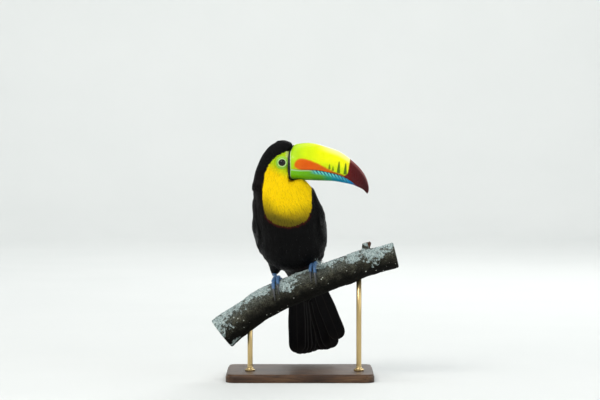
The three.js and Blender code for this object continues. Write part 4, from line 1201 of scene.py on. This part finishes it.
rows, columns = 26, 9
along, across = np.linspace(0, 1, rows), np.linspace(-1, 1, columns)
vane_wide = np.interp(along, [0, 0.08, 0.3, 0.65, 0.85, 0.93, 0.975, 1.0],
                      [0.3, 0.5, 0.82, 1.0, 0.96, 0.82, 0.58, 0.2])
off_skin = np.interp(along, [0, 0.15, 0.6, 1], [0.1, 0.55, 0.9, 1.0])[None, :, None]
for side, sign in (("right", -1), ("left", 1)):
    lines, widths, heights = [], [], []
    for count, half, height, root_at, root_share, tip_at, tip_share in QUILLS.values():
        for k in np.arange(count) / (count - 1):
            reach = between(tip_at, k) + dice.uniform(-0.004, 0.004)
            place = between((between(root_at, k), reach), along)
            share = between((between(root_share, k), between(tip_share, k)), along**0.85)
            lines.append(wing_points(place, share, sign))
            widths.append(half * dice.uniform(0.95, 1.05))
            heights.append(height + (0.35 if sign > 0 else 0) * (k > 0.8))
    lines = np.array(lines)
    widths, heights = np.array(widths)[:, None, None], np.array(heights)[:, None, None]
    for _ in range(3):
        lines[:, 1:-1] = (lines[:, :-2] + 2 * lines[:, 1:-1] + lines[:, 2:]) / 4
    tangent = unit(np.gradient(lines, axis=1))
    normal = np.array([[skin_tree.find_nearest(spot)[1] for spot in line] for line in lines])
    for _ in range(4):
        normal[:, 1:-1] = unit(normal[:, :-2] + normal[:, 1:-1] + normal[:, 2:])
    sides = unit(np.cross(normal, tangent)) * sign  # toward the wing's upper edge
    shape = vane_wide[None, :, None] * widths
    vane = np.where(across > 0, 1.08, 0.86) * across * shape
    drawn_back = -0.25 * across**2 * along[:, None] ** 6 * widths
    grid = lines[:, :, None] + sides[:, :, None] * vane[..., None]
    grid += tangent[:, :, None] * drawn_back[..., None]
    rise = heights * off_skin - (0.06 * across + 0.035 * across**2) * shape
    each = vane.shape
    points = onto_skin(grid.reshape(-1, 3), rise.ravel())
    quads = sheet_quads(np.arange(math.prod(each)).reshape(each))
    finish_quills(f"wing_quills_{side}", points, quads, each, *along_body(lines[:, 0]))

# ------------------------------------------------------------------ tail
# Ten long black quills in a narrow fan under one another, the middle pair on top. Stiff vanes with
# rounded, worn tips, each a thin closed blade with a strong shaft.

TAIL = {"at": 0.765, "length": 155.8, "spread": 2.5, "root": 9.0, "wide": 13.5, "step": 0.9, "thick": 0.45}
TAIL_PITCH, TAIL_LEAN = math.radians(68), math.radians(10)
TAIL_FAN = [-8.2, -7.3, -6.0, -4.3, -2.4, -0.4, 1.6, 3.5, 5.6, 10.6]
TAIL_REACH = [0.975, 0.995, 1, 1, 0.995, 0.985, 0.99, 0.995, 0.985, 0.905]


def tipped(points, first, second, angle):
    """Points turned by an angle from one axis toward another."""
    turned = points.copy()
    turned[..., first] = points[..., first] * math.cos(angle) - points[..., second] * math.sin(angle)
    turned[..., second] = points[..., first] * math.sin(angle) + points[..., second] * math.cos(angle)
    return turned


def edge_of(sheets):
    """The numbers of the points round the edge of each sheet."""
    return np.concatenate(
        [sheets[:, 0, :], sheets[:, 1:, -1], sheets[:, -1, -2::-1], sheets[:, -2:0:-1, 0]], axis=1)


rows, columns = 60, 13
along = 1 - (1 - np.linspace(0, 1, rows)) ** 1.25
across = np.linspace(-1, 1, columns)
blades = []
for i, (fan, reach) in enumerate(zip(TAIL_FAN, TAIL_REACH)):
    rank = i - 4.5
    length = TAIL["length"] * reach
    half = np.interp(along, [0, 0.6, 0.86, 1], [TAIL["root"], TAIL["wide"], TAIL["wide"], TAIL["wide"]])
    tip = np.clip((along - 0.86) / 0.14, 0, 1)
    half = half * np.sqrt(np.clip(1 - tip**2.6, 0, 1)) + 0.4
    fray = dice.normal(0, 0.12, (1, columns)) * (along > 0.93)[:, None]
    x = across[None] * half[:, None] * (1 + 0.012 * np.sin(along * 21 + i)[:, None])
    y = np.broadcast_to((along * length)[:, None], x.shape) + fray
    curl = -0.022 * (x / TAIL["wide"]) ** 2 * half[:, None] * 2.2 + 0.25 * np.sin(along * 3 + i)[:, None]
    ridge = 0.35 * np.exp(-(across**2) / 0.01)[None] * (1 - along)[:, None] ** 0.6
    top = np.stack([x, y, 0.75 + curl + TAIL["thick"] / 2 + ridge], axis=-1)
    bottom = np.stack([x, y, 0.75 + curl - TAIL["thick"] / 2 - ridge], axis=-1)
    blade = tipped(np.array([top, bottom]), 0, 1, -math.radians(fan))
    blade += (rank * TAIL["spread"], 0, -abs(rank) * TAIL["step"])
    blade = tipped(tipped(blade, 1, 2, -TAIL_PITCH), 2, 0, -TAIL_LEAN)
    blades.append(blade + spine[int(TAIL["at"] * (len(spine) - 1))])
blades = np.array(blades)  # feather, side, row, column, axis
each = blades.shape[:-1]
index = np.arange(math.prod(each)).reshape(each)
top_edge, bottom_edge = edge_of(index[:, 0]), edge_of(index[:, 1])
quads = np.concatenate([
    sheet_quads(index[:, 0]), sheet_quads(index[:, 1])[:, [0, 3, 2, 1]],
    np.stack([top_edge, bottom_edge, np.roll(bottom_edge, -1, axis=1), np.roll(top_edge, -1, axis=1)],
             axis=-1).reshape(-1, 4)])
finish_quills("tail_quills", blades.reshape(-1, 3), quads, each,
              *along_body(blades[:, 0, 0, columns // 2]), ["tail"])

# The white feathers over the tail's root and the red ones under it, laid over its quills' bases.
laid_on = BVHTree.FromPolygons(
    [tuple(p) for p in skin_points] + [tuple(p) for p in blades.reshape(-1, 3)],
    [tuple(f.vertices) for f in skin.data.polygons] + [tuple(q + len(skin_points)) for q in quads],
    epsilon=0.0)
vanes("coat_tail_root", coat_place >= TAIL_ROOT[0], *TAIL_ROOT[1:], laid_on)

# ------------------------------------------------------------------ branch
# A cut length of a forest branch, sawn at both ends: grey-brown bark with shallow furrows, pale lichen
# on its weathered side, painted shade on its underside, a pruned twig's stub with a bud's lobe beside it, and a
# small tuft of lichen.

BRANCH_AXIS = smooth_curve([
    (-122, 0, 59), (-90, 0, 84), (-42, 0, 113.5), (25, 0, 141), (73, 0, 159.5), (104, 0, 170.5),
    (150, 0, 181.5)])
BRANCH_RADIUS = [(-122, 25.2), (-42, 23.3), (60, 21.6), (150, 20.2)]
FEET = {"right": -26.0, "left": 31.0}
KNOB = {"at": 0.855, "height": 8.0, "radius": 5.5}
LICHEN = [  # crusts: along the branch, degrees round it (0 front, 90 up), half length, half width
    (-122, 48, 22, 50), (-96, 68, 26, 40), (-62, 70, 30, 36), (-14, 50, 17, 42), (10, 80, 18, 20),
    (54, 70, 15, 28), (88, 62, 20, 42), (117, 46, 20, 50), (138, 80, 24, 34), (-80, 150, 20, 26), (-96, 215, 12, 20),
    (-30, 142, 12, 18), (22, 170, 17, 22), (70, 138, 16, 24), (112, 172, 18, 26), (44, 232, 10, 16),
    (136, 240, 10, 18), (-116, 300, 8, 14),
]
CHECKS = [  # the cracks in a sawn end: which way, and from where to where between middle and bark
    (9, 0.1, 0.7), (52, 0.15, 0.97), (77, 0.0, 0.45), (118, 0.3, 0.97)]
SAWN_RINGS = (0.96, 0.88, 0.78, 0.66, 0.54, 0.42, 0.3, 0.18, 0.06)
front = np.array([0, -1.0, 0])
branch_axis = evenly(BRANCH_AXIS, 801)


def branch_frame(share):
    """Middle, heading, upward way and radius of the branch at shares of its length."""
    at = np.asarray(share) * (len(branch_axis) - 1)
    low = np.clip(at.astype(int), 0, len(branch_axis) - 2)
    centre = branch_axis[low] + (branch_axis[low + 1] - branch_axis[low]) * (at - low)[..., None]
    step = unit(branch_axis[np.minimum(low + 3, len(branch_axis) - 1)] - branch_axis[np.maximum(low - 2, 0)])
    up = np.stack([-step[..., 2], 0 * step[..., 0], step[..., 0]], axis=-1)
    return centre, step, up, curve_value(BRANCH_RADIUS, centre[..., 0])


def branch_at(share):
    """The same four at one share of its length."""
    return [part[0] for part in branch_frame(np.array([share]))]


def from_feet(x):
    """How far along the branch a place is from the nearer foot."""
    return np.minimum(np.abs(x - FEET["right"]), np.abs(x - FEET["left"]))


def bark_lump(x, angle):
    """Broad waves in the branch, which die out under the feet."""
    wave = (0.9 * np.sin(x / 17 + 2 * angle) + 0.6 * np.sin(x / 8.3 - 3 * angle + 1)
            + 0.5 * np.sin(x / 31 + angle))
    return np.clip((from_feet(x) - 16) / 18, 0, 1) * wave


def rough(points, scale, octaves):
    """Smooth noise between -1 and 1 for each point, at a scale in millimetres."""
    flat = (points / scale).reshape(-1, 3)
    made = [noise.fractal(Vector(p), 1.0, 2.0, octaves) for p in flat]
    return np.array(made).reshape(points.shape[:-1])


rings, sides = 460, 144
share = np.linspace(0, 1, rings)
angle = circle(sides)
centre, heading, up, radius = branch_frame(share)
way = front * np.cos(angle)[None, :, None] + up[:, None] * np.sin(angle)[None, :, None]
smooth_skin = centre[:, None] + way * radius[:, None, None]
stretched = np.stack([np.broadcast_to((share * 400)[:, None], (rings, sides)) * 0.22,
                      np.cos(angle)[None] * radius[:, None], np.sin(angle)[None] * radius[:, None]], axis=-1)
furrow = rough(stretched, 3.4, 4)
broad = rough(smooth_skin, 15.0, 2)
grain = rough(smooth_skin, 2.0, 3)
under_foot = ease(20, 10, from_feet(centre[:, :1])) * ease(-0.6, 0.1, np.sin(angle))
relief_depth = 1 - 0.75 * under_foot
torn = rough(smooth_skin + 40, 5.0, 5)
lichen = np.full((rings, sides), -1.0)
for x, at, half_length, half_width in LICHEN:
    off = (np.degrees(angle)[None] - at + 180) % 360 - 180
    lichen = np.maximum(lichen, 1 - np.hypot((centre[:, :1] - x) / half_length, off / half_width))
lichen = lichen + 0.75 * torn + 0.35 * broad
lift = relief_depth * (0.6 * broad - 0.45 * np.abs(furrow) + 0.35 * grain)
lift = lift + bark_lump(centre[:, :1], angle[None])
lift = lift + 0.45 * ease(0.0, 0.35, lichen) * (1 + grain) * relief_depth
saw = np.minimum(share, 1 - share)[:, None] * 320
lift = lift - 1.2 * ease(1.6, 0, saw)
bark = smooth_skin + way * lift[..., None]
# how far each point of the bark faces up and forward, which sets the painted shade below
upper_side = np.broadcast_to(np.sin(angle)[None] + 0.35 * np.cos(angle)[None], (rings, sides))
sheets = [(bark.reshape(-1, 3), 0.0, lichen.ravel(), furrow.ravel(), upper_side.ravel())]
index, quads, tris = np.arange(rings * sides).reshape(rings, sides), [tube_quads(rings, sides)], []
for end in (0, -1):
    ring = index[end]
    for shrink in SAWN_RINGS:
        checked = np.zeros(sides)
        for at, inner_end, outer_end in CHECKS:
            checked[at:at + 2] = np.maximum(checked[at:at + 2], inner_end <= shrink <= outer_end)
        inner = sum(len(sheet[0]) for sheet in sheets) + np.arange(sides)
        sheets.append((centre[end] + (bark[end] - centre[end]) * shrink, 1.02 - shrink, -1.0, checked, 0.0))
        quads.append(np.stack([ring, np.roll(ring, -1), np.roll(inner, -1), inner], axis=-1))
        ring = inner
    tris += [(ring[-1] + 1, a, b) for a, b in zip(ring, np.roll(ring, -1))]
    sheets.append((centre[end][None], 1.0, -1.0, 0.0, 0.0))
points = np.concatenate([sheet[0] for sheet in sheets])
branch = outside(build_mesh("branch_wood", to_row(points), np.concatenate(quads), tris))
for number, key in enumerate(("cut", "lichen", "furrow", "facing_up"), 1):
    store(branch, key, np.concatenate([np.full(len(sheet[0]), sheet[number]) for sheet in sheets]))

branch_paint, tree, shader = new_finish("bark_paint", Specular_IOR_Level=0.1)
lichen_at, cut_at, furrow_at = attribute(tree, "lichen"), attribute(tree, "cut"), attribute(tree, "furrow")
stains = clouds(tree, 90.0, 5.0, 0.65)
specks = clouds(tree, 700.0, 4.0, 0.75)
crumbs = pebbles(tree, 520.0)
tint = ramp(tree, stains, [(0.32, (0.012, 0.013, 0.009)), (0.47, (0.03, 0.028, 0.019)),
                           (0.58, (0.058, 0.055, 0.04)), (0.7, (0.1, 0.1, 0.078))])
tint = mix(tree, streak(tree, maths(tree, "ABSOLUTE", furrow_at), 0.1, 0.5), tint, (0.014, 0.013, 0.01))
coarse = times(tree, streak(tree, specks, 0.46, 0.62), 0.55)
tint = mix(tree, coarse, tint, (0.12, 0.115, 0.09))
tint = mix(tree, streak(tree, specks, 0.46, 0.34), tint, (0.008, 0.008, 0.006))
# painted shade: the bark darkened toward its underside and a little lighter on its upper, front side
shaded = streak(tree, plus(tree, attribute(tree, "facing_up"), stains), 0.2, 1.45)
dim = mix(tree, shaded, (0.09, 0.09, 0.085), (1.1, 1.1, 1.05))
tint = mix(tree, 1.0, tint, dim, "MULTIPLY")
# paler grey speckles toward the branch's upper side
paler_on_top = times(tree, streak(tree, attribute(tree, "facing_up"), 0.35, 1.05), streak(tree, specks, 0.4, 0.6))
tint = mix(tree, times(tree, paler_on_top, 0.75), tint, (0.15, 0.17, 0.155))
torn_edge = times(tree, maths(tree, "SUBTRACT", specks, 0.5), 1.5)
worn = plus(tree, torn_edge, times(tree, maths(tree, "SUBTRACT", stains, 0.5), 1.4))
pale = streak(tree, plus(tree, lichen_at, worn), 0.02, 0.34)
place = node(tree, "ShaderNodeTexCoord").outputs["Object"]
stretch = node(tree, "ShaderNodeVectorMath", {0: place, 1: (3.0, 0.7, 1.0)}, operation="MULTIPLY").outputs[0]
ridges = clouds(tree, 260.0, 3.0, 0.6, Vector=stretch)
mottled = scaled(tree, specks, 0.45, times(tree, ridges, 0.55))
crust = ramp(tree, mottled, [(0.34, (0.075, 0.1, 0.095)), (0.45, (0.25, 0.32, 0.315)),
                             (0.53, (0.42, 0.5, 0.495)), (0.64, (0.62, 0.69, 0.67))])
crust = mix(tree, streak(tree, crumbs, 0.55, 0.9), crust, (0.12, 0.15, 0.14))
tint = mix(tree, times(tree, pale, 0.92), tint, crust)
dots = pebbles(tree, 120.0)
dot = times(tree, streak(tree, dots, 0.13, 0.09), streak(tree, stains, 0.5, 0.56))
tint = mix(tree, dot, tint, (0.5, 0.52, 0.46))
age = scaled(tree, cut_at, 62.0, times(tree, stains, 5.0))
grown = scaled(tree, maths(tree, "SINE", age), 0.5, 0.5)
wood = mix(tree, maths(tree, "POWER", grown, 2.0), (0.36, 0.24, 0.13), (0.13, 0.068, 0.03))
wood = mix(tree, streak(tree, cut_at, 0.8, 1.0), wood, (0.1, 0.055, 0.027))
wood = mix(tree, furrow_at, wood, (0.012, 0.008, 0.005))
tint = mix(tree, streak(tree, cut_at, 0.05, 0.09), tint, wood)
tree.links.new(tint, shader.inputs["Base Color"])
tree.links.new(scaled(tree, specks, 0.2, 0.74), shader.inputs["Roughness"])
height = plus(tree, times(tree, specks, 0.9), stains)
height = plus(tree, height, times(tree, pale, times(tree, ridges, 1.6)))
relief(tree, shader, height, 0.8, 0.0009)
branch.data.materials.append(branch_paint)
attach(branch, "root")
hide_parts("branch")

# The stub of a twig, flared where it leaves the branch and sawn off above.
STUB = [(-5, 1.9), (-2.5, 1.6), (0, 1.3), (1.2, 1.14), (2.6, 1.02), (4.2, 0.95), (6.2, 0.9), (8.0, 0.87),
        (9.0, 0.84), (9.45, 0.76), (9.5, 0.6), (9.5, 0.35), (9.5, 0.1)]
STUB_SIDES = 48
stub_centre, stub_ahead, stub_up, stub_radius = branch_at(KNOB["at"])
stub_base = stub_centre + stub_up * stub_radius
ring_angle = circle(STUB_SIDES)
out_way = stub_ahead * np.cos(ring_angle)[:, None] - front * np.sin(ring_angle)[:, None]
stub = []
for rise, width in STUB:
    wobble = 1 + 0.04 * np.sin(3 * ring_angle + rise) + 0.03 * np.sin(7 * ring_angle)
    middle = stub_base + stub_up * rise + stub_ahead * rise * 0.25
    stub.append(middle + out_way * (KNOB["radius"] * width * wobble)[:, None])
twig, points, _ = merged("twig_stub", [np.array(stub)])
heights, widths = [np.repeat(column, STUB_SIDES) for column in zip(*STUB)]
turns = np.tile(ring_angle, len(STUB))
store(twig, "cut", np.append(np.where(heights >= 9.5, 1 - widths, 0), (0, 1)))
store(twig, "lichen", np.append(ease(0, 0.3, np.sin(turns * 2 + heights * 0.6)) * 0.6, (0, 0)))
store(twig, "facing_up", np.full(len(points), 0.6))
store(twig, "furrow", np.append(0.35 * np.sin(turns * 9), (0, 0)))
twig.data.materials.append(branch_paint)
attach(twig, "root")


def sweep(points, radii, sides):
    """Rings round a line of points, with their radii (one for each, or two for each: across and high)."""
    points = np.asarray(points)
    heading = unit(np.gradient(points, axis=0))
    helper = np.where(np.abs(heading[:, 1:2]) > 0.8, np.array([[0, 0, 1.0]]), np.array([[0, 1.0, 0]]))
    helper = np.broadcast_to(helper[len(helper) // 2], heading.shape)
    u = unit(np.cross(helper, heading))
    w = np.cross(heading, u)
    a = circle(sides)
    radii = np.broadcast_to(np.asarray(radii, dtype=float).reshape(len(points), -1), (len(points), 2))
    return (points[:, None] + u[:, None] * (np.cos(a) * radii[:, :1])[..., None]
            + w[:, None] * (np.sin(a) * radii[:, 1:])[..., None])


def place_on_branch(x):
    """The share of the branch's length at which it is x across."""
    return float(np.interp(x, branch_axis[:, 0], np.linspace(0, 1, len(branch_axis))))


# A second, brown lobe leans out of the stub's foot: a healed bud with a dull, cracked skin.
lobe_run = np.linspace(0, 1, 15)
lobe_line = (stub_base + np.outer(4.0 + 5.4 * lobe_run**0.8, stub_ahead)
             + np.outer(11.6 * lobe_run - 1.8, stub_up))
lobe_line[:, 1] -= 2.2 * lobe_run
lobe_wide = np.interp(lobe_run, [0, 0.25, 0.5, 0.7, 0.85, 0.95, 1], [2.5, 2.0, 2.5, 3.1, 2.7, 1.6, 0.3])
lobe_rings = sweep(lobe_line, lobe_wide, 28)
lobe_rings = lobe_rings + (lobe_rings - lobe_line[:, None]) * (0.12 * rough(lobe_rings, 2.6, 2))[..., None]
lobe = merged("bud_stub", [lobe_rings])[0]
lobe_paint, tree, shader = new_finish("bud_paint", Roughness=0.7, Specular_IOR_Level=0.2)
cracks = clouds(tree, 420.0, 4.0, 0.65)
tint = ramp(tree, cracks, [
    (0.35, (0.02, 0.011, 0.008)), (0.5, (0.065, 0.027, 0.016)), (0.66, (0.17, 0.095, 0.06))])
tree.links.new(tint, shader.inputs["Base Color"])
relief(tree, shader, cracks, 0.7, 0.0005)
lobe.data.materials.append(lobe_paint)
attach(lobe, "root")

# A tuft of shrubby lichen beside the left foot: thin forked strands that spread from one spot.
TUFT = {"x": 41.0, "degrees": 52, "strands": 20, "length": (6.5, 11.0), "thick": 0.75}
strand_dice = np.random.default_rng(5)
tuft_centre, tuft_ahead, tuft_up, tuft_radius = branch_at(place_on_branch(TUFT["x"]))
tilt = math.radians(TUFT["degrees"])
tuft_way = front * math.cos(tilt) + tuft_up * math.sin(tilt)
tuft_side = np.cross(tuft_way, tuft_ahead)
strands = []
for _ in range(TUFT["strands"]):
    lean, lean_side, bend, bend_side = strand_dice.normal(0, 0.55, 4)
    length = strand_dice.uniform(*TUFT["length"])
    start = tuft_centre + tuft_way * (tuft_radius - 0.6)
    start = start + tuft_ahead * lean * 2.4 + tuft_side * lean_side * 2.0
    for fork in (-1, 1):
        along = np.linspace(0, 1, 9)[:, None]
        spread = fork * 0.35 * np.clip(along - 0.4, 0, 1) ** 1.2
        line = start + length * (
            along * tuft_way + (along * lean + along**2 * bend * 0.5 + spread) * tuft_ahead
            + (along * lean_side + along**2 * bend_side * 0.5 + spread * lean) * tuft_side)
        strands.append(sweep(line, TUFT["thick"] * (1 - 0.7 * along[:, 0]), 7))
tuft, _, tuft_reach = merged("lichen_tuft", strands)
for key, value in (("cut", 0.0), ("furrow", 0.0), ("facing_up", 0.8)):
    store(tuft, key, np.full(len(tuft_reach), value))
store(tuft, "lichen", 0.35 + 0.6 * tuft_reach)
tuft.data.materials.append(branch_paint)
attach(tuft, "root")

# ------------------------------------------------------------------ feet
# Two toes forward and two back grip the perch. Blue skin in small scales over the joints and broad
# plates along the tops of the toes, with dark horn claws, curved and blunt.

TOE_RADIUS = 3.1
TOES = {  # where each starts and ends round the branch, its shift at root and tip, claw's reach, size
    1: (124, 166, 4.6, 10, 202, 0.84), 2: (92, 44, -3.5, -3.9, 6, 0.95),
    3: (92, 33, 3.5, 3.7, -8, 1.0), 4: (124, 184, -4.4, -9, 222, 0.97),
}
GAP = 0.3
SHANK_ROWS = 60


def toe_line(perch, sign, number, first, last, rise):
    """Points along a toe or claw from one angle round the branch to another, each raised by its rise."""
    centre, heading, up, radius = perch
    start, end, root, tip = TOES[number][:4]
    degrees = np.linspace(first, last, len(rise))
    share = np.minimum((degrees - start) / (end - start), 1)
    shift = sign * (root + (tip - root) * share) - 7 * np.maximum(0, (90 - degrees) / 60)
    a = np.radians(degrees)[:, None]
    way = front * np.cos(a) + up * np.sin(a)
    return centre + way * (radius + GAP + rise)[:, None] + heading * shift[:, None]


foot_paint, tree, shader = new_finish(
    "foot_paint", Specular_IOR_Level=0.45, Coat_Weight=0.12, Coat_Roughness=0.3)
plate_at, top_at = attribute(tree, "along"), attribute(tree, "top")
beads = pebbles(tree, 950.0)
stains = clouds(tree, 260.0, 3.0)
step = maths(tree, "FRACT", maths(tree, "DIVIDE", plate_at, 2.3))
plate = times(tree, maths(tree, "POWER", step, 0.35), streak(tree, step, 1.0, 0.9))
scales = mix(tree, streak(tree, top_at, 0.25, 0.5), beads, plate)
tint = mix(tree, stains, (0.036, 0.088, 0.2), (0.075, 0.175, 0.34))
groove = streak(tree, scales, 0.35, 0.02)
tint = mix(tree, times(tree, groove, 0.6), tint, (0.01, 0.022, 0.05))
tree.links.new(tint, shader.inputs["Base Color"])
tree.links.new(scaled(tree, stains, 0.2, 0.38), shader.inputs["Roughness"])
relief(tree, shader, scales, 0.8, 0.0004)

claw_paint, tree, shader = new_finish(
    "claw_horn", Specular_IOR_Level=0.5, Coat_Weight=0.6, Coat_Roughness=0.12)
fibres = clouds(tree, 1400.0, 2.0)
tip_at = attribute(tree, "along")
tint = mix(tree, fibres, (0.012, 0.013, 0.016), (0.035, 0.037, 0.042))
tint = mix(tree, streak(tree, tip_at, 0.1, 0.0), tint, (0.03, 0.06, 0.11))
tree.links.new(tint, shader.inputs["Base Color"])
tree.links.new(scaled(tree, fibres, 0.2, 0.22), shader.inputs["Roughness"])
relief(tree, shader, fibres, 0.3, 0.0002)

for side, sign in (("right", -1), ("left", 1)):
    perch = branch_at(place_on_branch(FEET[side]))
    centre, heading, up, radius = perch
    tubes, guides, claws = [], [], []
    for number, (first, last, root, tip, claw_to, size) in TOES.items():
        share = np.linspace(0, 1, 42)
        knuckle = 1 + 0.1 * np.cos(share * 3 * 2 * math.pi)
        thick = TOE_RADIUS * size * (1.08 - 0.26 * share) * knuckle
        thick = thick * np.sqrt(1 - 0.35 * ease(0.93, 1.0, share))
        line = toe_line(perch, sign, number, first, last, thick + 0.25)
        tubes.append(sweep(line, thick, 20))
        guides.append(line)
        share = np.linspace(0, 1, 26)
        turn = np.sign(claw_to - last)
        thin = (2.15 - 1.85 * share**1.3) * size
        arch = 1.5 * np.sin(math.pi * share) + 1.1 * (1 - share)
        claws.append(sweep(toe_line(perch, sign, number, last - turn * 1.2, claw_to, thin + arch), thin, 14))
    a = math.radians(108)
    way = front * math.cos(a) + up * math.sin(a)
    sole = centre + way * (radius + GAP + 4.3)
    ankle = centre + np.array([-2, 34, 0]) + up * (radius + 9)
    share = np.linspace(0, 1, SHANK_ROWS)
    thick = np.interp(share, [0, 0.12, 0.3, 0.6, 0.85, 1.0], [3.9, 3.9, 3.15, 2.95, 3.3, 3.7])
    thick = thick * (1 + 0.03 * np.sin(share * 34))
    line = sole + (ankle - sole) * share[:, None]
    tubes.append(sweep(line, thick, 22))
    guides.append(line)
    a = circle(30)[:, None]
    level = heading * 6.6 * np.cos(a) + np.cross(way, heading) * 5.6 * np.sin(a)
    tubes.append(np.array([sole + way * 3.9 * math.cos(t) + math.sin(t) * level
                           for t in np.linspace(0, math.pi, 22)[1:-1]]))
    foot = redrawn(merged(f"foot_{side}_source", tubes)[0], f"foot_{side}", 0.5, 3)
    points, normals = to_bird(of_vertices(foot.data, "co")), of_vertices(foot.data, "normal")
    samples = np.concatenate(guides)
    travelled = np.concatenate([
        np.concatenate([[0], np.cumsum(np.linalg.norm(np.diff(g, axis=0), axis=1))]) for g in guides])
    nearest = np.concatenate([
        np.argmin(np.linalg.norm(part[:, None] - samples[None], axis=2), axis=1)
        for part in np.array_split(points, 12)])
    around_branch = points - centre
    out_way = unit(around_branch - heading * (around_branch @ heading)[:, None])
    out_way[nearest >= len(samples) - SHANK_ROWS] = front
    store(foot, "along", travelled[nearest])
    store(foot, "top", np.einsum("ni,ni->n", normals, out_way))
    foot.data.materials.append(foot_paint)
    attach(foot, "root")
    for node_name in [f"shank_{side}"] + [f"toe_{side}_{n}" for n in TOES]:
        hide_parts(node_name)
    nails, _, reach = merged(f"claws_{side}", claws)
    store(nails, "along", reach)
    nails.data.materials.append(claw_paint)
    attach(nails, "root")
    for number in TOES:
        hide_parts(f"claw_{side}_{number}")

# ------------------------------------------------------------------ stand
# A plain museum stand: a lacquered walnut plate with eased edges, and two satin brass rods that are
# turned with a flange at the foot and let into the branch from below.

BASE = {"width": 230.0, "depth": 176.0, "height": 13.0, "corner": 16.0}
PLATE_EDGE = [  # how far in from the outline, and the height there
    (5, 0), (1.2, 0), (0.4, 0.3), (0, 1.0), (0, 8.6), (0.15, 9.3), (0.7, 9.8), (1.3, 10.0), (1.5, 10.4),
    (1.6, 11.2), (1.95, 12.1), (2.6, 12.75), (3.4, 13), (6, 13), (20, 13), (50, 13), (80, 13)]
ROD = {"radius": 4.0, "at": (-78.0, 92.0), "foot": 1.3}
FLANGE = [(0.01, 0), (7.7, 0), (8, 0.3), (8, 1.9), (7.85, 2.2), (7.5, 2.4), (6.4, 2.6), (5.9, 2.9), (5.7, 3.4),
          (5.65, 4.0), (5.4, 4.5), (4.9, 4.8), (4.35, 5.1), (4.1, 5.6), (4.0, 6.3), (4.0, 9)]

brass, tree, shader = new_finish("satin_brass", Metallic=1.0, Anisotropic=0.35)
turned_marks = clouds(tree, 70.0, 4.0, 0.65)
smears = clouds(tree, 25.0, 3.0)
tree.links.new(mix(tree, smears, (0.5, 0.36, 0.16), (0.66, 0.49, 0.24)), shader.inputs["Base Color"])
tree.links.new(scaled(tree, turned_marks, 0.22, 0.2), shader.inputs["Roughness"])
relief(tree, shader, turned_marks, 0.15, 0.0002)

for number, x in enumerate(ROD["at"], 1):
    top = float(branch_at(place_on_branch(x))[0][2]) - ROD["foot"] - 6
    profile = FLANGE + [(ROD["radius"], top / 2), (ROD["radius"], top), (0.01, top)]
    rod_points, faces = lathe(profile, 48)
    rod = outside(build_mesh(f"rod_{number}", to_row(rod_points + np.array([x, 0, ROD["foot"]])), faces))
    rod.data.materials.append(brass)
    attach(rod, "root")
    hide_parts(f"stand_rod_{number}")


def plate_loop(inset, steps=10):
    """The outline of the plate drawn in from its widest by an inset."""
    w, d = BASE["width"] / 2 - inset, BASE["depth"] / 2 - inset
    r = max(BASE["corner"] - inset, 2.0)
    corners = [(w - r, -d + r, -90), (w - r, d - r, 0), (-w + r, d - r, 90), (-w + r, -d + r, 180)]
    return np.array([(cx + r * math.cos(math.radians(start + 90 * i / steps)),
                      cy + r * math.sin(math.radians(start + 90 * i / steps)))
                     for cx, cy, start in corners for i in range(steps + 1)])


loops = [np.column_stack([plate_loop(inset), np.full(44, z)]) for inset, z in PLATE_EDGE]
points = np.concatenate(loops + [[(0, 0, PLATE_EDGE[0][1]), (0, 0, PLATE_EDGE[-1][1])]])
plate = outside(build_mesh("stand_plate", points * MM, tube_quads(len(loops), 44), end_fans(len(loops), 44)))
walnut, tree, shader = new_finish(
    "lacquered_walnut", Coat_Weight=0.15, Coat_Roughness=0.22, Specular_IOR_Level=0.25)
spot = node(tree, "ShaderNodeTexCoord").outputs["Object"]
long_way = node(tree, "ShaderNodeMapping", {"Vector": spot, "Scale": (1.0, 9.0, 9.0)})
bands = clouds(tree, 9.0, 6.0, 0.6, Vector=long_way.outputs[0], Distortion=0.4)
fine_way = node(tree, "ShaderNodeMapping", {"Vector": spot, "Scale": (1.0, 40.0, 40.0)})
pores = clouds(tree, 40.0, 3.0, Vector=fine_way.outputs[0])
wood = ramp(tree, bands, [(0.3, (0.018, 0.008, 0.004)), (0.45, (0.05, 0.022, 0.01)),
                          (0.55, (0.085, 0.04, 0.018)), (0.7, (0.13, 0.066, 0.03))])
wood = mix(tree, times(tree, streak(tree, pores, 0.5, 0.62), 0.6), wood, (0.014, 0.006, 0.003))
tree.links.new(wood, shader.inputs["Base Color"])
tree.links.new(scaled(tree, pores, 0.2, 0.42), shader.inputs["Roughness"])
relief(tree, shader, pores, 0.1, 0.0002)
plate.data.materials.append(walnut)
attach(plate, "root")
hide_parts("stand_base")
